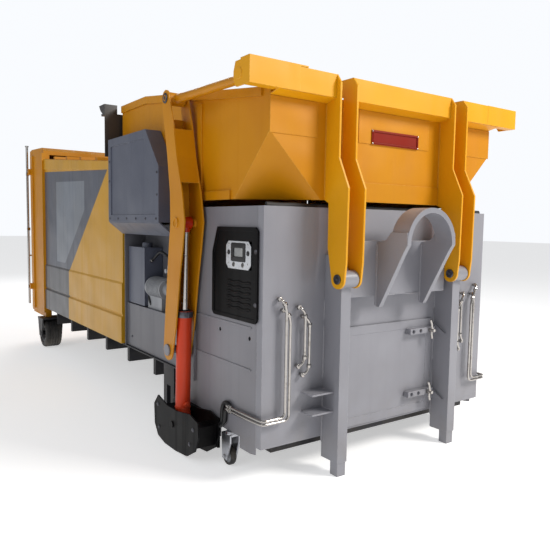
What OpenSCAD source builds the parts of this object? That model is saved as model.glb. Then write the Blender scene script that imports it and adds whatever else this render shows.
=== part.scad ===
// Hooklift waste compactor with a hopper that turns over from the ground on to the press head.
// Millimetres, +Z up, -Y is the hook end, origin on the ground under the middle of the whole unit.
// Inside the modules Y is counted from the outer face of the head's front plate.

/* [Body] */
// Width over the flat sides of the press head and container
body_w = 2160; // [1900:10:2300]
// Length of the press head, from its front plate to the container
head_len = 2318; // [2250:10:2700]
// Height of the top edge of the press head above the ground
head_top = 1753; // [1700:5:1790]
// Height of the lowest edge of the press head
head_bottom = 172; // [150:5:260]
// Length of the container behind the press head
container_len = 3310; // [2600:10:4200]
// Height of the container's lower side edge and floor
floor_z = 506; // [460:2:540]
// Height of the container roof where it meets the press head
roof_front = 2190; // [2050:10:2260]
// Height of the container roof at the rear frame
roof_rear = 2470; // [2300:10:2520]
// Thickness of the body's sheet steel
sheet = 6; // [5:1:10]

/* [Hopper] */
// Width over the hopper's side walls
hopper_w = 2120; // [1950:10:2128]
// Height of the hopper's open lower edge
hopper_bottom = 1800; // [1796:2:1830]
// Height of the hopper's closed face at the hinge end
hopper_front_top = 2450; // [2400:5:2480]
// Height of the hopper's closed face at the far end
hopper_rear_top = 2687; // [2600:5:2720]
// Height of the hopper's hinge axis
hinge_z = 1300; // [1296:1:1304]
// Distance of the hinge axis in front of the head
hinge_out = 165; // [160:1:170]
// Radius of the hopper's hinge pins
hinge_pin_r = 24; // [18:1:30]
// Distance from the middle to the centre of each pair of hinge plates
plate_pair_x = 548; // [500:1:580]
// Gap between the two plates of a pair
plate_gap = 126; // [110:2:150]
// Thickness of the hinge plates
plate_t = 14; // [10:1:20]
// Half the length of the lip beam
beam_half = 1270; // [1262:2:1300]

/* [Lift] */
// Clear gap between the plates of a lift arm
fork_gap = 136; // [132:2:150]
// Thickness of a lift arm's plates
arm_plate = 10; // [8:1:14]
// Radius of the lift arm's lower pin
arm_pin_r = 30; // [24:1:34]
// Radius of the lift cylinder's barrel
barrel_r = 54; // [44:1:58]
// Radius of the lift cylinder's rod
rod_r = 27; // [20:1:32]
// Radial clearance of every pin in its bore
fit = 0.05; // [0.03:0.01:0.1]

/* [Hook] */
// Height of the top of the hook bail
bail_top = 1765; // [1700:5:1770]
// Half the width across the outside of the bail
bail_half = 236; // [200:2:260]
// Thickness of the bail's steel
bail_t = 34; // [26:2:44]

/* [Running gear] */
// Radius of the rear wheels
wheel_r = 185; // [150:5:200]
// Width of the rear wheels
wheel_w = 200; // [140:10:240]
// Radius of the front castor wheels
castor_r = 66; // [50:2:80]

/* [Doors] */
// Width of the inspection door between the front posts
hatch_w = 940; // [800:10:970]
// Height of the inspection door
hatch_h = 700; // [600:10:740]
// Width of the control panel door
panel_w = 560; // [480:10:600]
// Height of the control panel door
panel_h = 600; // [500:10:620]

/* [Hidden] */
$fn = 48;

half = body_w / 2;
hopper_half = hopper_w / 2;
rear_y = head_len + container_len;
door_y = rear_y + 4;
door_t = 90;
latch_y = door_y + door_t + 44;
latch_r = 16;
latch_grip = 38;
bail_reach = 384;
head_y = -(latch_y + latch_grip - bail_reach) / 2;
chamber_half = half - 210;
recess_y = 1200;

// The closed lift linkage in the side plane, as [y, z]
hinge = [-hinge_out, hinge_z];
arm_foot = [955, 715];
arm_top = [1000, 2520];
beam_eye = [0, 2500];
cyl_foot = [875, 182];
cyl_eye = [830, 1640];
lane_in = half + 24;
lane_out = lane_in + 2 * arm_plate + fork_gap;
lane_mid = (lane_in + lane_out) / 2;

module place() { translate([0, head_y, 0]) children(); }
module on_left() { mirror([1, 0, 0]) children(); }

// Outline given as [y, z] points, filled between two values of x
module side_prism(points, x0, x1) {
    translate([x0, 0, 0]) rotate([90, 0, 90]) linear_extrude(x1 - x0) polygon(points);
}

// Outline given as [x, z] points, filled between two values of y
module front_prism(points, y0, y1) {
    translate([0, y1, 0]) rotate([90, 0, 0]) linear_extrude(y1 - y0) polygon(points);
}

module x_rod(at, x0, x1, r) {
    translate([x0, at[0], at[1]]) rotate([0, 90, 0]) cylinder(h = x1 - x0, r = r);
}

module box(x0, x1, y0, y1, z0, z1) {
    translate([x0, y0, z0]) cube([x1 - x0, y1 - y0, z1 - z0]);
}

function unit(v) = v / norm(v);

// A corner of a pipe's path becomes three points on a bend of the given radius
function rounded(points, bend) = [for (i = [0:len(points) - 1])
    if (i == 0 || i == len(points) - 1) points[i]
    else let (before = unit(points[i - 1] - points[i]), after = unit(points[i + 1] - points[i]),
        cut = min(bend, norm(points[i - 1] - points[i]) / 2.2, norm(points[i + 1] - points[i]) / 2.2))
        each [points[i] + before * cut, points[i] + (before + after) * cut * 0.16,
            points[i] + after * cut]];

function tangent(p, i) = i == 0 ? unit(p[1] - p[0]) : i == len(p) - 1 ? unit(p[i] - p[i - 1])
    : unit(unit(p[i] - p[i - 1]) + unit(p[i + 1] - p[i]));

// Carries one normal along the path so that the rings don't twist
function normals(p, i, last) = let (t = tangent(p, i), n = unit(last - (last * t) * t))
    i == len(p) - 1 ? [n] : concat([n], normals(p, i + 1, n));

// Round pipe swept through a list of points
module pipe(points, r, bend = 36) {
    sides = 12;
    path = rounded(points, bend);
    n = normals(path, 0, unit([0.31, 0.52, 0.79]));
    rings = [for (i = [0:len(path) - 1]) let (t = tangent(path, i), b = cross(t, n[i]))
        each [for (k = [0:sides - 1]) path[i] + r * (cos(k * 360 / sides) * n[i]
            + sin(k * 360 / sides) * b)]];
    last = (len(path) - 1) * sides;
    skin = [for (i = [0:len(path) - 2]) each [for (k = [0:sides - 1]) let (j = (k + 1) % sides)
        each [[i * sides + k, (i + 1) * sides + k, (i + 1) * sides + j],
            [i * sides + k, (i + 1) * sides + j, i * sides + j]]]];
    ends = [[for (k = [0:sides - 1]) k], [for (k = [sides - 1:-1:0]) last + k]];
    polyhedron(points = rings, faces = concat(skin, ends), convexity = 6);
}

// ---- press head ----

door_x0 = -hatch_w / 2;
hatch_z0 = 250;

module head_front() {
    color("#9a9ba6") place() difference() {
        union() {
            box(-half, half, 0, sheet, head_bottom + 60, head_top);
            box(-half, half, 0, 60, head_top - 52, head_top);
            box(-half, half, 0, 60, head_bottom + 60, head_bottom + 120);
            for (s = [-1, 1]) box(s * (half - 30) - 30, s * (half - 30) + 30, 0, 60,
                head_bottom + 60, head_top);
            // shelf plates beside the left post, with a pocket between them
            for (z = [425, 553]) box(-770, -600, -120, 0, z, z + 10);
        }
        box(door_x0 + 40, -door_x0 - 40, -1, 61, hatch_z0 + 40, hatch_z0 + hatch_h - 40);
    }
}

module head_side() {
    difference() {
        union() {
            side_prism([[61, head_bottom + 10], [120, head_bottom], [recess_y, head_bottom],
                [recess_y, head_top], [61, head_top]], half - sheet, half);
            box(half - 40, half, 61, recess_y, head_top - 52, head_top);
            box(half - 60, half, recess_y - sheet, recess_y, head_bottom, floor_z - 13);
            box(half - 60, half, recess_y - sheet, recess_y, floor_z, head_top);
            // inner wall of the charging chamber and the recess behind the lift arm
            box(chamber_half, chamber_half + sheet, 61, head_len - 60, floor_z, head_top);
            box(chamber_half, half, head_len - 60, head_len - 54, floor_z, head_top - 130);
            // lower side sheet under the recess
            box(half - 30, half - 24, recess_y, head_len - 60, floor_z, 900);
            box(chamber_half, half - 24, recess_y, head_len - 60, 894, 900);
            // boss behind the lift arm's foot
            x_rod(arm_foot, half - 60, lane_in - 6, 95);
            box(half - 60, half - sheet, recess_y - 420, recess_y - sheet, 560, 860);
            side_prism([[recess_y - 330, 860], [recess_y - 160, 860], [recess_y - 210, 560],
                [recess_y - 330, 480]], half, lane_in - 8);
            // fold lines that stiffen the side sheet
            for (z = [708, 980]) side_prism([[120, z], [recess_y, z], [recess_y, z + 12],
                [120, z + 12]], half, half + 6);
        }
        for (hole = [[514, 922], [143, 915]])
            x_rod(hole, half - sheet - 1, half + 1, 14);
        // notch for the castor
        box(half - sheet - 1, half + 1, castor_y - 126, castor_y + 122, head_bottom - 1, 246.5);
        x_rod(arm_foot, half - 61, lane_in, arm_pin_r + fit);
    }
    color("#3a3b40") x_rod(arm_foot, half - 60, lane_out + 8, arm_pin_r);
    color("#3a3b40") x_rod(arm_foot, lane_out + 2, lane_out + 14, arm_pin_r + 12);
}

// The side sheet behind the control panel is cut away for the cabinet
panel_y0 = 40;
panel_z0 = 1020;

module head_side_left() {
    color("#9a9ba6") place() difference() {
        on_left() head_side();
        box(-half - 20, -half + sheet + 1, panel_y0 + 30, panel_y0 + panel_w - 30,
            panel_z0 + 30, panel_z0 + panel_h - 30);
    }
}
module head_side_right() { color("#9a9ba6") place() head_side(); }

module head_floor() {
    color("#4a4b50") place() {
        box(-half + sheet, half - sheet, 61, head_len - 60, floor_z - 12, floor_z - 1);
        for (s = [-1, 1]) {
            // castor beam across the front corner, and the leg under the lift arm
            box(s * (half - 40) - 30, s * (half - 40) + 30, 300, 444, 246, floor_z - 12);
            difference() {
                box(s * (half - 50) - 36, s * (half - 50) + 36, 1260, 1450, 0, floor_z - 12);
                box(s * (half - 50) - 40, s * (half - 50) + 40, 1320, 1390, 120, 330);
            }
        }
        box(-half + 120, half - 120, 61, 140, head_bottom, floor_z - 12);
    }
}

// ---- guards round the charging opening ----

guard_w = 132;
module chute_guard() {
    points = [[1230, 1640], [head_len - 10, 1640], [head_len - 10, 2367], [1480, 2367],
        [1230, 2066]];
    inner = [[1290, 1700], [head_len - 70, 1700], [head_len - 70, 2300], [1512, 2300],
        [1290, 2036]];
    difference() {
        side_prism(points, half + 1, half + guard_w);
        side_prism(inner, half + guard_w - 8, half + guard_w + 1);
        side_prism([[1238, 1648], [head_len - 18, 1648], [head_len - 18, 2359], [1484, 2359],
            [1238, 2062]], half, half + guard_w - 16);
    }
    // sloped underside
    front_prism([[half + 1, 1545], [half + guard_w - 16, 1640], [half + guard_w - 8, 1640],
        [half + guard_w - 8, 1632], [half + 1, 1533]], 1230, head_len - 10);
    // inner sheet that carries the chamber wall up beside the hopper
    box(half - 4, half + 1, 1230, head_len - 61, head_top - 130, 2000);
    box(chamber_half + sheet, half - 4, 1230, head_len - 61, head_top - 10, head_top - 4);
}
module chute_guard_left() { color("#7f8794") place() on_left() chute_guard(); }
module chute_guard_right() { color("#7f8794") place() chute_guard(); }

wall_y = 2392;
module chute_rear_wall() {
    color("#4b4a4f") place() {
        box(-half - guard_w, half + guard_w, wall_y, wall_y + sheet, roof_front + 40, 2620);
        box(-half - guard_w, half + guard_w, wall_y + sheet, wall_y + 90, 2600, 2620);
        for (x = [-1100, -550, 0, 550, 1100]) side_prism([[wall_y + sheet, roof_front + 40],
            [wall_y + 200, roof_front + 40], [wall_y + sheet, 2560]], x - 5, x + 5);
    }
    color("#8d8a8c") place() for (s = [-1, 1]) side_prism([[wall_y + sheet, 2620],
        [wall_y + sheet, 2700], [wall_y + 150, 2700], [wall_y + 110, 2650], [wall_y + 60, 2620]],
        s * (half + guard_w - 60) - 60, s * (half + guard_w - 60) + 60);
}

// ---- front posts, hinge pins, crossbeam and hook bail ----

post_w = 82;
post_front = -hinge_out;
boss_r = 56;
boss_half = plate_gap / 2 - 6;

module post(x) {
    difference() {
        union() {
            side_prism([[post_front, 92], [post_front, hinge_z], [post_front + 20, hinge_z + 52],
                [-46, hinge_z + 150], [-1, hinge_z + 150], [-1, 92]], x - post_w / 2, x + post_w / 2);
            x_rod(hinge, x - boss_half, x + boss_half, boss_r);
            // separate foot
            box(x - post_w / 2 + 6, x + post_w / 2 - 6, post_front + 5, post_front + 75, 0, 92);
        }
        x_rod(hinge, x - 70, x + 70, hinge_pin_r + fit);
    }
    // latch wedges beside the inspection door
    for (z = [340, 845]) side_prism([[post_front + 40, z], [-8, z], [-8, z + 70]],
        x - post_w / 2 - 22, x - post_w / 2);
}
module post_left() { color("#a6a7b0") place() post_pair(-1); }
module post_right() { color("#a6a7b0") place() post_pair(1); }
module post_pair(s) {
    if (s > 0) post(plate_pair_x);
    else on_left() post(plate_pair_x);
}

module hinge_pins() {
    color("#55565a") place() for (x = [-plate_pair_x, plate_pair_x]) {
        x_rod(hinge, x - plate_gap / 2 - plate_t, x + plate_gap / 2 + plate_t, hinge_pin_r);
    }
}

beam_y = -116;
inner_post = plate_pair_x - post_w / 2;
inner_plate = plate_pair_x - plate_gap / 2 - plate_t - 5;
module crossbeam() {
    color("#9a9ba6") place() difference() {
        union() {
            box(-inner_plate, inner_plate, beam_y, -1, 1170, 1540);
            // shallow ends that pass behind the hinge plates to the posts
            box(-inner_post + 0.5, inner_post - 0.5, -46, -1, 1170, 1540);
        }
        box(-inner_plate + 30, inner_plate - 30, beam_y + 12, -13, 1182, 1528);
    }
}

// The bail is a bent plate: two legs with forward noses and a round arch between them
module bail_leg() {
    points = [[beam_y - 0.5, 1098], [-150, 1098], [-352, 1470], [-bail_reach, 1520], [-380, 1600],
        [-240, 1600], [-196, 1548], [beam_y - 0.5, 1530]];
    side_prism(points, bail_half - bail_t, bail_half);
}
module hook_bail() {
    arch_z = bail_top - bail_half;
    color("#9b9896") place() {
        bail_leg();
        on_left() bail_leg();
        for (s = [-1, 1]) side_prism([[-bail_reach, 1520], [-bail_reach, arch_z], [-240, arch_z], [-240, 1520]],
            s * (bail_half - bail_t / 2) - bail_t / 2, s * (bail_half - bail_t / 2) + bail_t / 2);
        translate([0, -240, arch_z]) rotate([90, 0, 0]) difference() {
            cylinder(h = 144, r = bail_half, $fn = 96);
            translate([0, 0, -1]) cylinder(h = 146, r = bail_half - bail_t, $fn = 96);
            translate([-bail_half - 1, -bail_half - 1, -1]) cube([2 * bail_half + 2, bail_half + 1, 146]);
        }
    }
}

// ---- inside the head ----

ram_half = 380;
ram_z0 = floor_z + 4;
ram_z1 = 1180;
ram_y0 = 320;
ram_y1 = 960;
press_z = 820;

module ram_guide() {
    color("#5c5d62") place() {
        for (s = [-1, 1]) {
            box(s * (ram_half + 30) - 22, s * (ram_half + 30) + 22, 150, head_len - 70,
                floor_z - 1, floor_z + 60);
            // cheek walls that fill the space beside the ram
            box(s * (ram_half + 62) - 8, s * (ram_half + 62) + 8, 150, ram_y1 - 20, floor_z - 1, ram_z1 + 30);
        }
        box(-ram_half - 70, ram_half + 70, 150, ram_y1 - 20, ram_z1 + 30, ram_z1 + 42);
        difference() {
            box(-ram_half - 70, ram_half + 70, 138, 150, floor_z - 1, ram_z1 + 42);
            translate([0, 100, press_z]) rotate([-90, 0, 0]) cylinder(h = 80, r = 74);
        }
    }
}

press_r = 70;
press_rod_r = 42;
module press_barrel() {
    color("#b5482e") place() difference() {
        translate([0, 110, press_z]) rotate([-90, 0, 0]) cylinder(h = 760, r = press_r);
        translate([0, 130, press_z]) rotate([-90, 0, 0]) cylinder(h = 700, r = press_r - 14);
        translate([0, 800, press_z]) rotate([-90, 0, 0]) cylinder(h = 80, r = press_rod_r + fit);
    }
}
module press_ram() {
    color("#6a6b70") place() {
        difference() {
            box(-ram_half, ram_half, ram_y0, ram_y1, ram_z0, ram_z1);
            box(-ram_half + 14, ram_half - 14, ram_y0 - 1, ram_y1 - 24, ram_z0 + 14, ram_z1 - 14);
        }
        for (z = [ram_z0 + 120, ram_z1 - 120]) box(-ram_half + 60, ram_half - 60, ram_y1, ram_y1 + 16,
            z, z + 20);
    }
    color("#c9ccd2") place() {
        translate([0, 160, press_z]) rotate([-90, 0, 0]) cylinder(h = ram_y1 - 24 - 160, r = press_rod_r);
        translate([0, 160, press_z]) rotate([-90, 0, 0]) cylinder(h = 60, r = press_r - 14 - fit);
    }
}

// ---- drive and controls ----

module control_cabinet() {
    color("#2a2a2e") place() difference() {
        box(-half + sheet + 1, -half + 150, panel_y0 + 32, panel_y0 + panel_w - 32,
            panel_z0 + 32, panel_z0 + panel_h - 32);
        box(-half, -half + 142, panel_y0 + 40, panel_y0 + panel_w - 40,
            panel_z0 + 40, panel_z0 + panel_h - 40);
    }
}

module oil_tank() {
    color("#55565c") place() on_left() difference() {
        box(chamber_half + sheet + 4, half - 30, 1880, head_len - 80, 910, 1420);
        box(chamber_half + sheet + 10, half - 36, 1886, head_len - 86, 916, 1414);
    }
    color("#2e2e33") place() translate([-half + 110, 2000, 1420]) cylinder(h = 40, r = 45);
}

module pump_motor() {
    color("#4d545c") place() translate([-half + 110, 0, 0]) {
        translate([0, 1560, 1080]) rotate([-90, 0, 0]) cylinder(h = 300, r = 88);
        for (i = [0:9]) translate([0, 1585 + i * 26, 1080]) rotate([-90, 0, 0]) cylinder(h = 8, r = 94);
        translate([0, 1500, 1080]) rotate([-90, 0, 0]) cylinder(h = 60, r = 54);
        box(-60, 60, 1570, 1850, 901, 1010);
    }
}

module valve_block() {
    color("#b9b6ae") place() translate([-half + 110, 0, 0]) {
        box(-60, 60, 1300, 1460, 1150, 1290);
        for (i = [0:2]) {
            translate([-60, 1330 + i * 48, 1250]) rotate([0, -90, 0]) cylinder(h = 34, r = 18);
            translate([0, 1330 + i * 48, 1290]) cylinder(h = 60, r = 16);
        }
        box(-14, 14, 1340, 1420, 901, 1150);
        pipe([[0, 1456, 1200], [0, 1500, 1200], [0, 1528, 1180], [0, 1528, 1135]], 12);
    }
}

// Steel pipes on the front corners, with a union nut at each end
module union_nut(at) { translate(at) rotate([90, 0, 0]) cylinder(h = 22, r = 17, center = true); }
pipe_r = 9;
module front_pipes() {
    for (k = [0, 1]) {
        x = half - 150 - 30 * k;
        top_z = 1180 - 70 * k;
        low_z = 430 - 22 * k;
        side_z = 422 - 24 * k;
        pipe([[x + 38, -1, top_z], [x + 38, -46, top_z], [x, -46, top_z - 50], [x, -46, low_z],
            [half - 60, -46, low_z], [half + 8, -46, low_z], [half + 22, -30, low_z],
            [half + 22, 200, side_z], [half + 22, 330, side_z]], pipe_r);
        union_nut([x + 38, -26, top_z]);
        union_nut([half + 22, 330, side_z]);
    }
    for (k = [0, 1]) {
        x = half - 300 - 36 * k;
        top_z = 1120 - 60 * k;
        low_z = 740 - 60 * k;
        pipe([[x + 38, -1, top_z], [x + 38, -44, top_z], [x, -44, top_z - 40],
            [x, -44, low_z + 40], [x + 38, -44, low_z], [x + 38, -1, low_z]], pipe_r);
        union_nut([x + 38, -26, top_z]);
        union_nut([x + 38, -26, low_z]);
    }
    // rubber hoses arching down to the cylinder's foot
    pipe([[half + 18, 340, 422], [half + 18, 376, 446], [half + 18, 424, 430], [half + 18, 446, 380],
        [half + 18, 446, 280], [half + 18, 469.5, 258]], 16);
    pipe([[half + 18, 340, 398], [half + 18, 368, 404], [half + 18, 396, 392], [half + 18, 410, 340],
        [half + 18, 412, 300], [half + 18, 469.5, 268]], 16);
}
module pipes_left() { color("#c4c6ca") place() on_left() front_pipes(); }
module pipes_right() { color("#c4c6ca") place() front_pipes(); }

// Clevis low on the side that holds the foot of the lift cylinder
module cylinder_bracket() {
    outline = [[485, 300], [470, 200], [520, 90], [640, 20], [820, 2], [1000, 2], [1120, 30],
        [1180, 110], [1190, 260], [1120, 340], [960, 300], [800, 300], [600, 330]];
    for (x = [lane_in - 6, lane_out - 4])
        side_prism(outline, x, x + 10);
    box(lane_in + 4, lane_out - 4, 960, 1120, 60, 260);
    box(lane_in + 4, lane_out - 4, 520, 640, 110, 250);
    box(half + 0.5, lane_in - 6, 500, 1180, 90, 300);
    color("#3a3b40") x_rod(cyl_foot, lane_in - 14, lane_out + 14, 25);
}
module cylinder_bracket_left() { color("#1f1f22") place() on_left() cylinder_bracket(); }
module cylinder_bracket_right() { color("#1f1f22") place() cylinder_bracket(); }

// ---- container ----

function roof_z(y) = roof_front + (roof_rear - roof_front) * (y - head_len) / container_len;
frame_y = rear_y - 620;

module container_side() {
    side_prism([[head_len, floor_z], [frame_y, floor_z], [frame_y, roof_z(frame_y)],
        [head_len, roof_z(head_len)]], half - sheet, half);
    // two folded bands along the bottom and one below the roof
    front_prism([[half, 1080], [half + 10, 1060], [half + 10, 790], [half, 770]], head_len, frame_y);
    front_prism([[half, 766], [half + 16, 750], [half + 16, floor_z], [half, floor_z]], head_len, frame_y);
    side_prism([[head_len, roof_z(head_len) - 70], [frame_y, roof_z(frame_y) - 130],
        [frame_y, roof_z(frame_y)], [head_len, roof_z(head_len)]], half, half + 12);
    box(half - 60, half, head_len, head_len + sheet, floor_z, roof_front);
}
module container_left() { color("#d9a52a") place() on_left() container_side(); }
module container_right() { color("#d9a52a") place() container_side(); }

module container_roof() {
    color("#d9a52a") place() {
        box(-half + sheet + 1, half - sheet - 1, head_len + sheet + 1, head_len + 2 * sheet + 1,
            head_top + 10, roof_front);
        side_prism([[head_len, roof_front], [frame_y, roof_z(frame_y)],
            [frame_y, roof_z(frame_y) + sheet], [head_len, roof_front + sheet]], -half, half);
        for (i = [0:4]) translate([0, 0, roof_z(head_len + 300 + i * 520) + sheet])
            box(-half + 40, half - 40, head_len + 280 + i * 520, head_len + 340 + i * 520, -2, 34);
    }
}
module container_floor() {
    color("#4a4b50") place() {
        box(-half + sheet + 1, half - sheet - 1, head_len - 50, frame_y - 1, floor_z - 12, floor_z - 1);
        box(-half + 62, half - 62, frame_y - 2, rear_y, floor_z - 12, floor_z - 1);
    }
}
rail_x = 515;
module chassis_rails() {
    color("#3c3d42") place() {
        for (s = [-1, 1]) {
            difference() {
                box(s * rail_x - 40, s * rail_x + 40, 150, rear_y - 121, 320, floor_z - 13);
                box(s * rail_x - (s > 0 ? 41 : 34), s * rail_x + (s > 0 ? 34 : 41), 149, rear_y,
                    332, floor_z - 25);
            }
        }
        for (i = [0:8]) box(-rail_x + 34, rail_x - 34, 400 + i * 600, 460 + i * 600, 340, floor_z - 13);
        for (i = [0:7]) for (s = [-1, 1])
            box(s * 790 - 235, s * 790 + 235, 500 + i * 600, 550 + i * 600, 330, floor_z - 13);
    }
}

frame_top = 2590;
module rear_frame() {
    color("#e0a82c") place() difference() {
        union() {
            side_prism([[frame_y, floor_z - 120], [rear_y, floor_z - 120], [rear_y, frame_top],
                [frame_y + 60, frame_top - 20], [frame_y, frame_top - 60]], -half - 14, half + 14);
            for (y = [frame_y, rear_y - 110]) side_prism([[y, floor_z - 60], [y + 110, floor_z - 60],
                [y + 110, frame_top - 90], [y, frame_top - 90]], -half - 34, half + 34);
        }
        box(-half + 60, half - 60, frame_y - 1, rear_y + 1, floor_z, frame_top - 110);
        box(-half + 60, half - 60, frame_y - 1, rear_y - 120, floor_z - 121, floor_z - 12.5);
        box(-half + 61, half - 61, frame_y - 1, rear_y + 1, floor_z - 12.5, floor_z + 1);
    }
}

axle_y = 5000;
axle_z = wheel_r;
axle_x = half - 40;
module rear_axles() {
    color("#2d2d31") place() for (s = [-1, 1]) {
        x_rod([axle_y, axle_z], s * axle_x - wheel_w / 2 - 34, s * axle_x + wheel_w / 2 + 34, 30);
        for (k = [-1, 1]) side_prism([[axle_y - 60, axle_z - 40], [axle_y + 60, axle_z - 40],
            [axle_y + 120, floor_z - 121], [axle_y - 120, floor_z - 121]],
            s * axle_x + k * (wheel_w / 2 + 22) - 6, s * axle_x + k * (wheel_w / 2 + 22) + 6);
        box(s * axle_x - wheel_w / 2 - 28, s * axle_x + wheel_w / 2 + 28, axle_y - 130, axle_y + 130,
            floor_z - 135, floor_z - 121);
    }
}
module rear_wheel(s) {
    color("#1b1b1d") place() translate([s * axle_x, axle_y, axle_z]) rotate([0, 90, 0])
        rotate_extrude($fn = 96) polygon([[30 + fit, -60], [90, -60], [100, -80], [120, -wheel_w / 2],
            [wheel_r - 22, -wheel_w / 2], [wheel_r, -wheel_w / 2 + 24], [wheel_r, wheel_w / 2 - 24],
            [wheel_r - 22, wheel_w / 2], [120, wheel_w / 2], [100, 80], [90, 60], [30 + fit, 60]]);
}
module rear_wheel_left() { rear_wheel(-1); }
module rear_wheel_right() { rear_wheel(1); }

door_pin_out = 56;
module rear_door() {
    color("#d9a52a") place() {
        box(-half - 10, half + 10, door_y, door_y + 8, floor_z - 100, frame_top - 10);
        for (z = [floor_z - 100, 900, 1350, 1800, frame_top - 90])
            box(-half - 10, half + 10, door_y + 8, door_y + door_t, z, z + 80);
        for (x = [-half - 10, -30, half - 60]) box(x, x + 70, door_y + 8, door_y + door_t - 4,
            floor_z - 100, frame_top - 10);
        for (z = [800, 1600, 2300]) translate([half + door_pin_out, door_y + 40, z])
            difference() {
                union() {
                    cylinder(h = 90, r = 26);
                    box(-door_pin_out + 8, 0, -24, 24, 0, 90);
                }
                translate([0, 0, -1]) cylinder(h = 92, r = 14 + fit);
            }
    }
}
// Hinge lugs and pins of the rear door, and the keepers of its latch rod
module latch_brackets() {
    color("#2f2f34") place() {
        for (z = [800, 1600, 2300]) {
            translate([half + door_pin_out, door_y + 40, z - 40]) cylinder(h = 170, r = 14);
            for (dz = [-40, 94]) difference() {
                box(half + 34.5, half + door_pin_out + 26, rear_y - 80, door_y + 66, z + dz, z + dz + 34);
                translate([half + door_pin_out, door_y + 40, z + dz - 1]) cylinder(h = 36, r = 13.9);
            }
        }
        for (z = [700, 2250]) box(-half - 70, -half - 34.5, rear_y - 60, rear_y - 20, z, z + 80);
    }
}
module door_latch() {
    color("#c98f28") place() translate([-half - 40, latch_y, 0]) {
        translate([0, 0, 480]) cylinder(h = 2160, r = latch_r);
        for (z = [700, 1500, 2250]) {
            box(-18, 18, -latch_r - 22, 0, z, z + 40);
        }
        pipe([[0, 4, 1150], [0, latch_grip - 12, 1150], [120, latch_grip - 12, 1150],
            [240, latch_grip - 12, 1130]], 12);
        translate([0, 0, 2640]) cylinder(h = 16, r = latch_r + 8);
    }
}

// ---- hopper ----

hopper_y0 = -20;
hopper_y1 = 2350;
corner_leg = 400;
rib = 14;

module hopper_solid(inset, drop) {
    low = hopper_bottom - drop;
    difference() {
        side_prism([[hopper_y0 + inset, low], [hopper_y1 - 150 - inset, low],
            [hopper_y1 - 60 - inset, hopper_bottom + 400], [hopper_y1 - inset, hopper_bottom + 500],
            [hopper_y1 - inset, hopper_rear_top - inset],
            [1800, hopper_rear_top - inset], [hopper_y0 + inset, hopper_front_top - inset]],
            -hopper_half + inset, hopper_half - inset);
        for (s = [-1, 1]) {
            leg = corner_leg + inset * sqrt(3);
            top = hopper_bottom + leg;
            q = [s * (hopper_half + 50), hopper_y0 - 50];
            reach = leg + 100 + drop;
            polyhedron(points = [[q[0], q[1], low - 1], [q[0] - s * (reach + 1), q[1], low - 1],
                [q[0], q[1] + reach + 1, low - 1], [q[0], q[1], low + reach]],
                faces = s > 0 ? [[0, 2, 1], [0, 1, 3], [1, 2, 3], [2, 0, 3]]
                    : [[0, 1, 2], [0, 3, 1], [1, 3, 2], [2, 3, 0]]);
        }
    }
}
module hopper_shell() {
    color("#d99a22") place() difference() {
        hopper_solid(0, 0);
        hopper_solid(sheet, 40);
    }
}

// Rim, side ribs and flat pads that stiffen the hopper's sheet
module hopper_stiffeners() {
    color("#e0a52c") place() {
        for (x = [-880, 880]) box(x - 182, x + 182, hopper_y0 - 4, hopper_y0, 2188, 2404);
        box(-345, 345, hopper_y0 - 4, hopper_y0, 2190, 2404);
        box(-inner_plate, inner_plate, hopper_y0 - 8, hopper_y0, hopper_bottom, hopper_bottom + 130);
        for (s = [-1, 1]) {
            inner = s > 0 ? hopper_half : -hopper_half - rib;
            box(inner, inner + rib, corner_leg + 20, hopper_y1 - 160, hopper_bottom, hopper_bottom + 60);
            box(inner, inner + rib, 810, 870, hopper_bottom + 60, 2480);
            box(inner, inner + rib, 1420, 1460, hopper_bottom + 60, 2580);
            side_prism([[60, hopper_front_top - 40], [1800, hopper_rear_top - 60],
                [hopper_y1, hopper_rear_top - 60], [hopper_y1, hopper_rear_top],
                [1800, hopper_rear_top], [60, hopper_front_top + 14]], inner, inner + rib);
        }
    }
}

beam_top = 2572;
beam_low = 2430;
beam_front = -115;
plate_out = plate_gap / 2 + plate_t;
module beam_channel(x0, x1) {
    side_prism([[beam_front, beam_low], [beam_front, beam_top], [40, beam_top - 8],
        [40, beam_top - 14], [beam_front + sheet, beam_top - 8], [beam_front + sheet, beam_low + 8],
        [hopper_y0, beam_low - 14], [hopper_y0, beam_low - 22]], x0, x1);
}
module lip_beam() {
    color("#f0c030") place() {
        inner = plate_pair_x - plate_out;
        outer = plate_pair_x + plate_out;
        beam_channel(-inner + 0.5, inner - 0.5);
        for (s = [-1, 1]) {
            x0 = s > 0 ? outer + 0.5 : -hopper_half;
            x1 = s > 0 ? hopper_half : -outer - 0.5;
            beam_channel(x0, x1);
            // closed box that carries the beam out past the side wall
            a = s > 0 ? hopper_half - 150 : -beam_half + 12;
            b = s > 0 ? beam_half - 12 : -hopper_half + 150;
            side_prism([[beam_front - 1, beam_low], [beam_front - 1, beam_top + 2],
                [-46, beam_top + 2], [-46, beam_low]], a, b);
            e = s > 0 ? beam_half - 12 : -beam_half;
            side_prism([[beam_front - 1, beam_low], [beam_front - 1, beam_top + 2], [36, beam_top + 2],
                [56, 2520], [56, 2470], [30, beam_low]], e, e + 12);
        }
        // raised flange on the control side
        box(-beam_half, -850, beam_front - 1, -20, beam_top + 2, beam_top + 12);
    }
    // pin through each link's eye, with its round head on the end plate
    color("#2c2c30") place() for (s = [-1, 1]) {
        e = s > 0 ? beam_half - 12 : -beam_half - 4;
        x_rod(beam_eye, e, e + 16, 34);
        x_rod(beam_eye, s > 0 ? lane_mid - 49 : -beam_half, s > 0 ? beam_half : -lane_mid + 49, 20);
    }
}

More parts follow.
